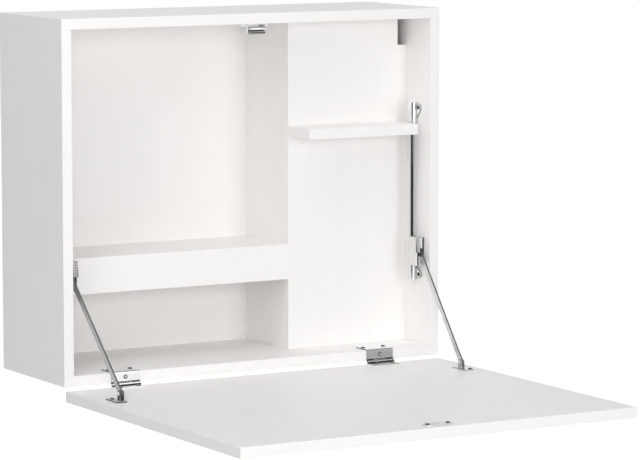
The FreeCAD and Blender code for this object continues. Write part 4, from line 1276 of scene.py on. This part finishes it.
def lay_floor(settings):
    """A square floor under the desk, lifted towards white where it is seen, so that it keeps shadows."""
    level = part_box("flap_panel")[1].z - settings.floor_drop
    reach = settings.floor_reach
    mesh = bpy.data.meshes.new("floor")
    corners = [(x * reach, y * reach, level) for x, y in ((-1, -1), (1, -1), (1, 1), (-1, 1))]
    mesh.from_pydata(corners, [], [(0, 1, 2, 3)])
    floor = bpy.data.objects.new("floor", mesh)
    bpy.context.scene.collection.objects.link(floor)
    made = bpy.data.materials.new("Pale floor")
    made.use_nodes = True
    tree = made.node_tree
    shader = tree.nodes["Principled BSDF"]
    shader.inputs["Base Color"].default_value = (*settings.floor_colour, 1.0)
    shader.inputs["Roughness"].default_value = FLOOR_ROUGHNESS
    shader.inputs["Emission Color"].default_value = WHITE
    lift = worked_out(tree, "MULTIPLY", seen_ray(tree), settings.floor_lift)
    tree.links.new(lift, shader.inputs["Emission Strength"])
    mesh.materials.append(made)


def light_sky(settings):
    """Even light from all round, and white where the backdrop is seen."""
    world = bpy.data.worlds.new("Studio")
    bpy.context.scene.world = world
    world.use_nodes = True
    tree = world.node_tree
    tree.nodes.clear()
    output = tree.nodes.new("ShaderNodeOutputWorld")
    even = node(tree, "ShaderNodeBackground", Color=WHITE, Strength=settings.sky)
    white = node(tree, "ShaderNodeBackground", Color=WHITE, Strength=1.0)
    mix = tree.nodes.new("ShaderNodeMixShader")
    for source, socket in zip((seen_ray(tree), even.outputs[0], white.outputs[0]), mix.inputs):
        tree.links.new(source, socket)
    tree.links.new(mix.outputs[0], output.inputs["Surface"])


def add_lamp(name, place, width, watts):
    """A square soft lamp that looks at the desk."""
    data = bpy.data.lights.new(name, "AREA")
    data.shape = "SQUARE"
    data.size = width
    data.energy = watts
    lamp = bpy.data.objects.new(name, data)
    lamp.location = place
    lamp.rotation_euler = (Vector(LAMP_TARGET) - Vector(place)).to_track_quat("-Z", "Y").to_euler()
    bpy.context.scene.collection.objects.link(lamp)


def place_camera(settings):
    """The camera, level across, with no shift."""
    data = bpy.data.cameras.new("camera")
    data.sensor_fit = "HORIZONTAL"
    data.sensor_width = SENSOR_WIDTH
    data.lens = settings.focal_length
    data.clip_end = FAR_CLIP
    camera = bpy.data.objects.new("camera", data)
    camera.location = settings.camera_place
    camera.rotation_euler = (math.pi / 2 - settings.camera_pitch, 0.0, -settings.camera_yaw)
    bpy.context.scene.collection.objects.link(camera)
    bpy.context.scene.camera = camera


class WALLDESK_OT_set_stage(bpy.types.Operator):
    """Lays the floor, hangs the lamps and places the camera"""

    bl_idname = "walldesk.set_stage"
    bl_label = "Set stage"

    def execute(self, context):
        settings = context.scene.desk_stage
        lay_floor(settings)
        light_sky(settings)
        place_camera(settings)
        for name, (place, width) in LAMPS.items():
            add_lamp(name, place, width, getattr(settings, name))
        context.scene.view_settings.view_transform = "Standard"
        return {"FINISHED"}


# ---------------------------------------------------------------- panel and run

STEPS = (WALLDESK_OT_finish_boards, WALLDESK_OT_finish_fittings, WALLDESK_OT_fold_hinges,
         WALLDESK_OT_mount_rods, WALLDESK_OT_mould_sliders, WALLDESK_OT_cut_arms,
         WALLDESK_OT_mould_catch, WALLDESK_OT_drive_screws, WALLDESK_OT_set_stage)


class WALLDESK_PT_panel(bpy.types.Panel):
    """Lists the steps that dress the desk"""

    bl_idname = "WALLDESK_PT_panel"
    bl_label = "Wall Desk"
    bl_space_type = "VIEW_3D"
    bl_region_type = "UI"
    bl_category = "Wall Desk"

    def draw(self, context):
        for step in STEPS:
            self.layout.operator(step.bl_idname)


GROUPS = {"desk_finishes": DeskFinishes, "desk_hinges": DeskHinges, "desk_stays": DeskStays,
          "desk_catch": DeskCatch, "desk_screws": DeskScrews, "desk_stage": DeskStage}
CLASSES = (*GROUPS.values(), *STEPS, WALLDESK_PT_panel)


def register():
    """Registers the classes and hangs the settings on the scene."""
    for cls in CLASSES:
        bpy.utils.register_class(cls)
    for name, cls in GROUPS.items():
        setattr(bpy.types.Scene, name, bpy.props.PointerProperty(type=cls))


def unregister():
    """Takes the settings and the classes away."""
    for name in GROUPS:
        delattr(bpy.types.Scene, name)
    for cls in reversed(CLASSES):
        bpy.utils.unregister_class(cls)


def main():
    """Runs every step in order."""
    register()
    for step in STEPS:
        area, name = step.bl_idname.split(".")
        getattr(getattr(bpy.ops, area), name)()


if __name__ == "__main__":
    main()
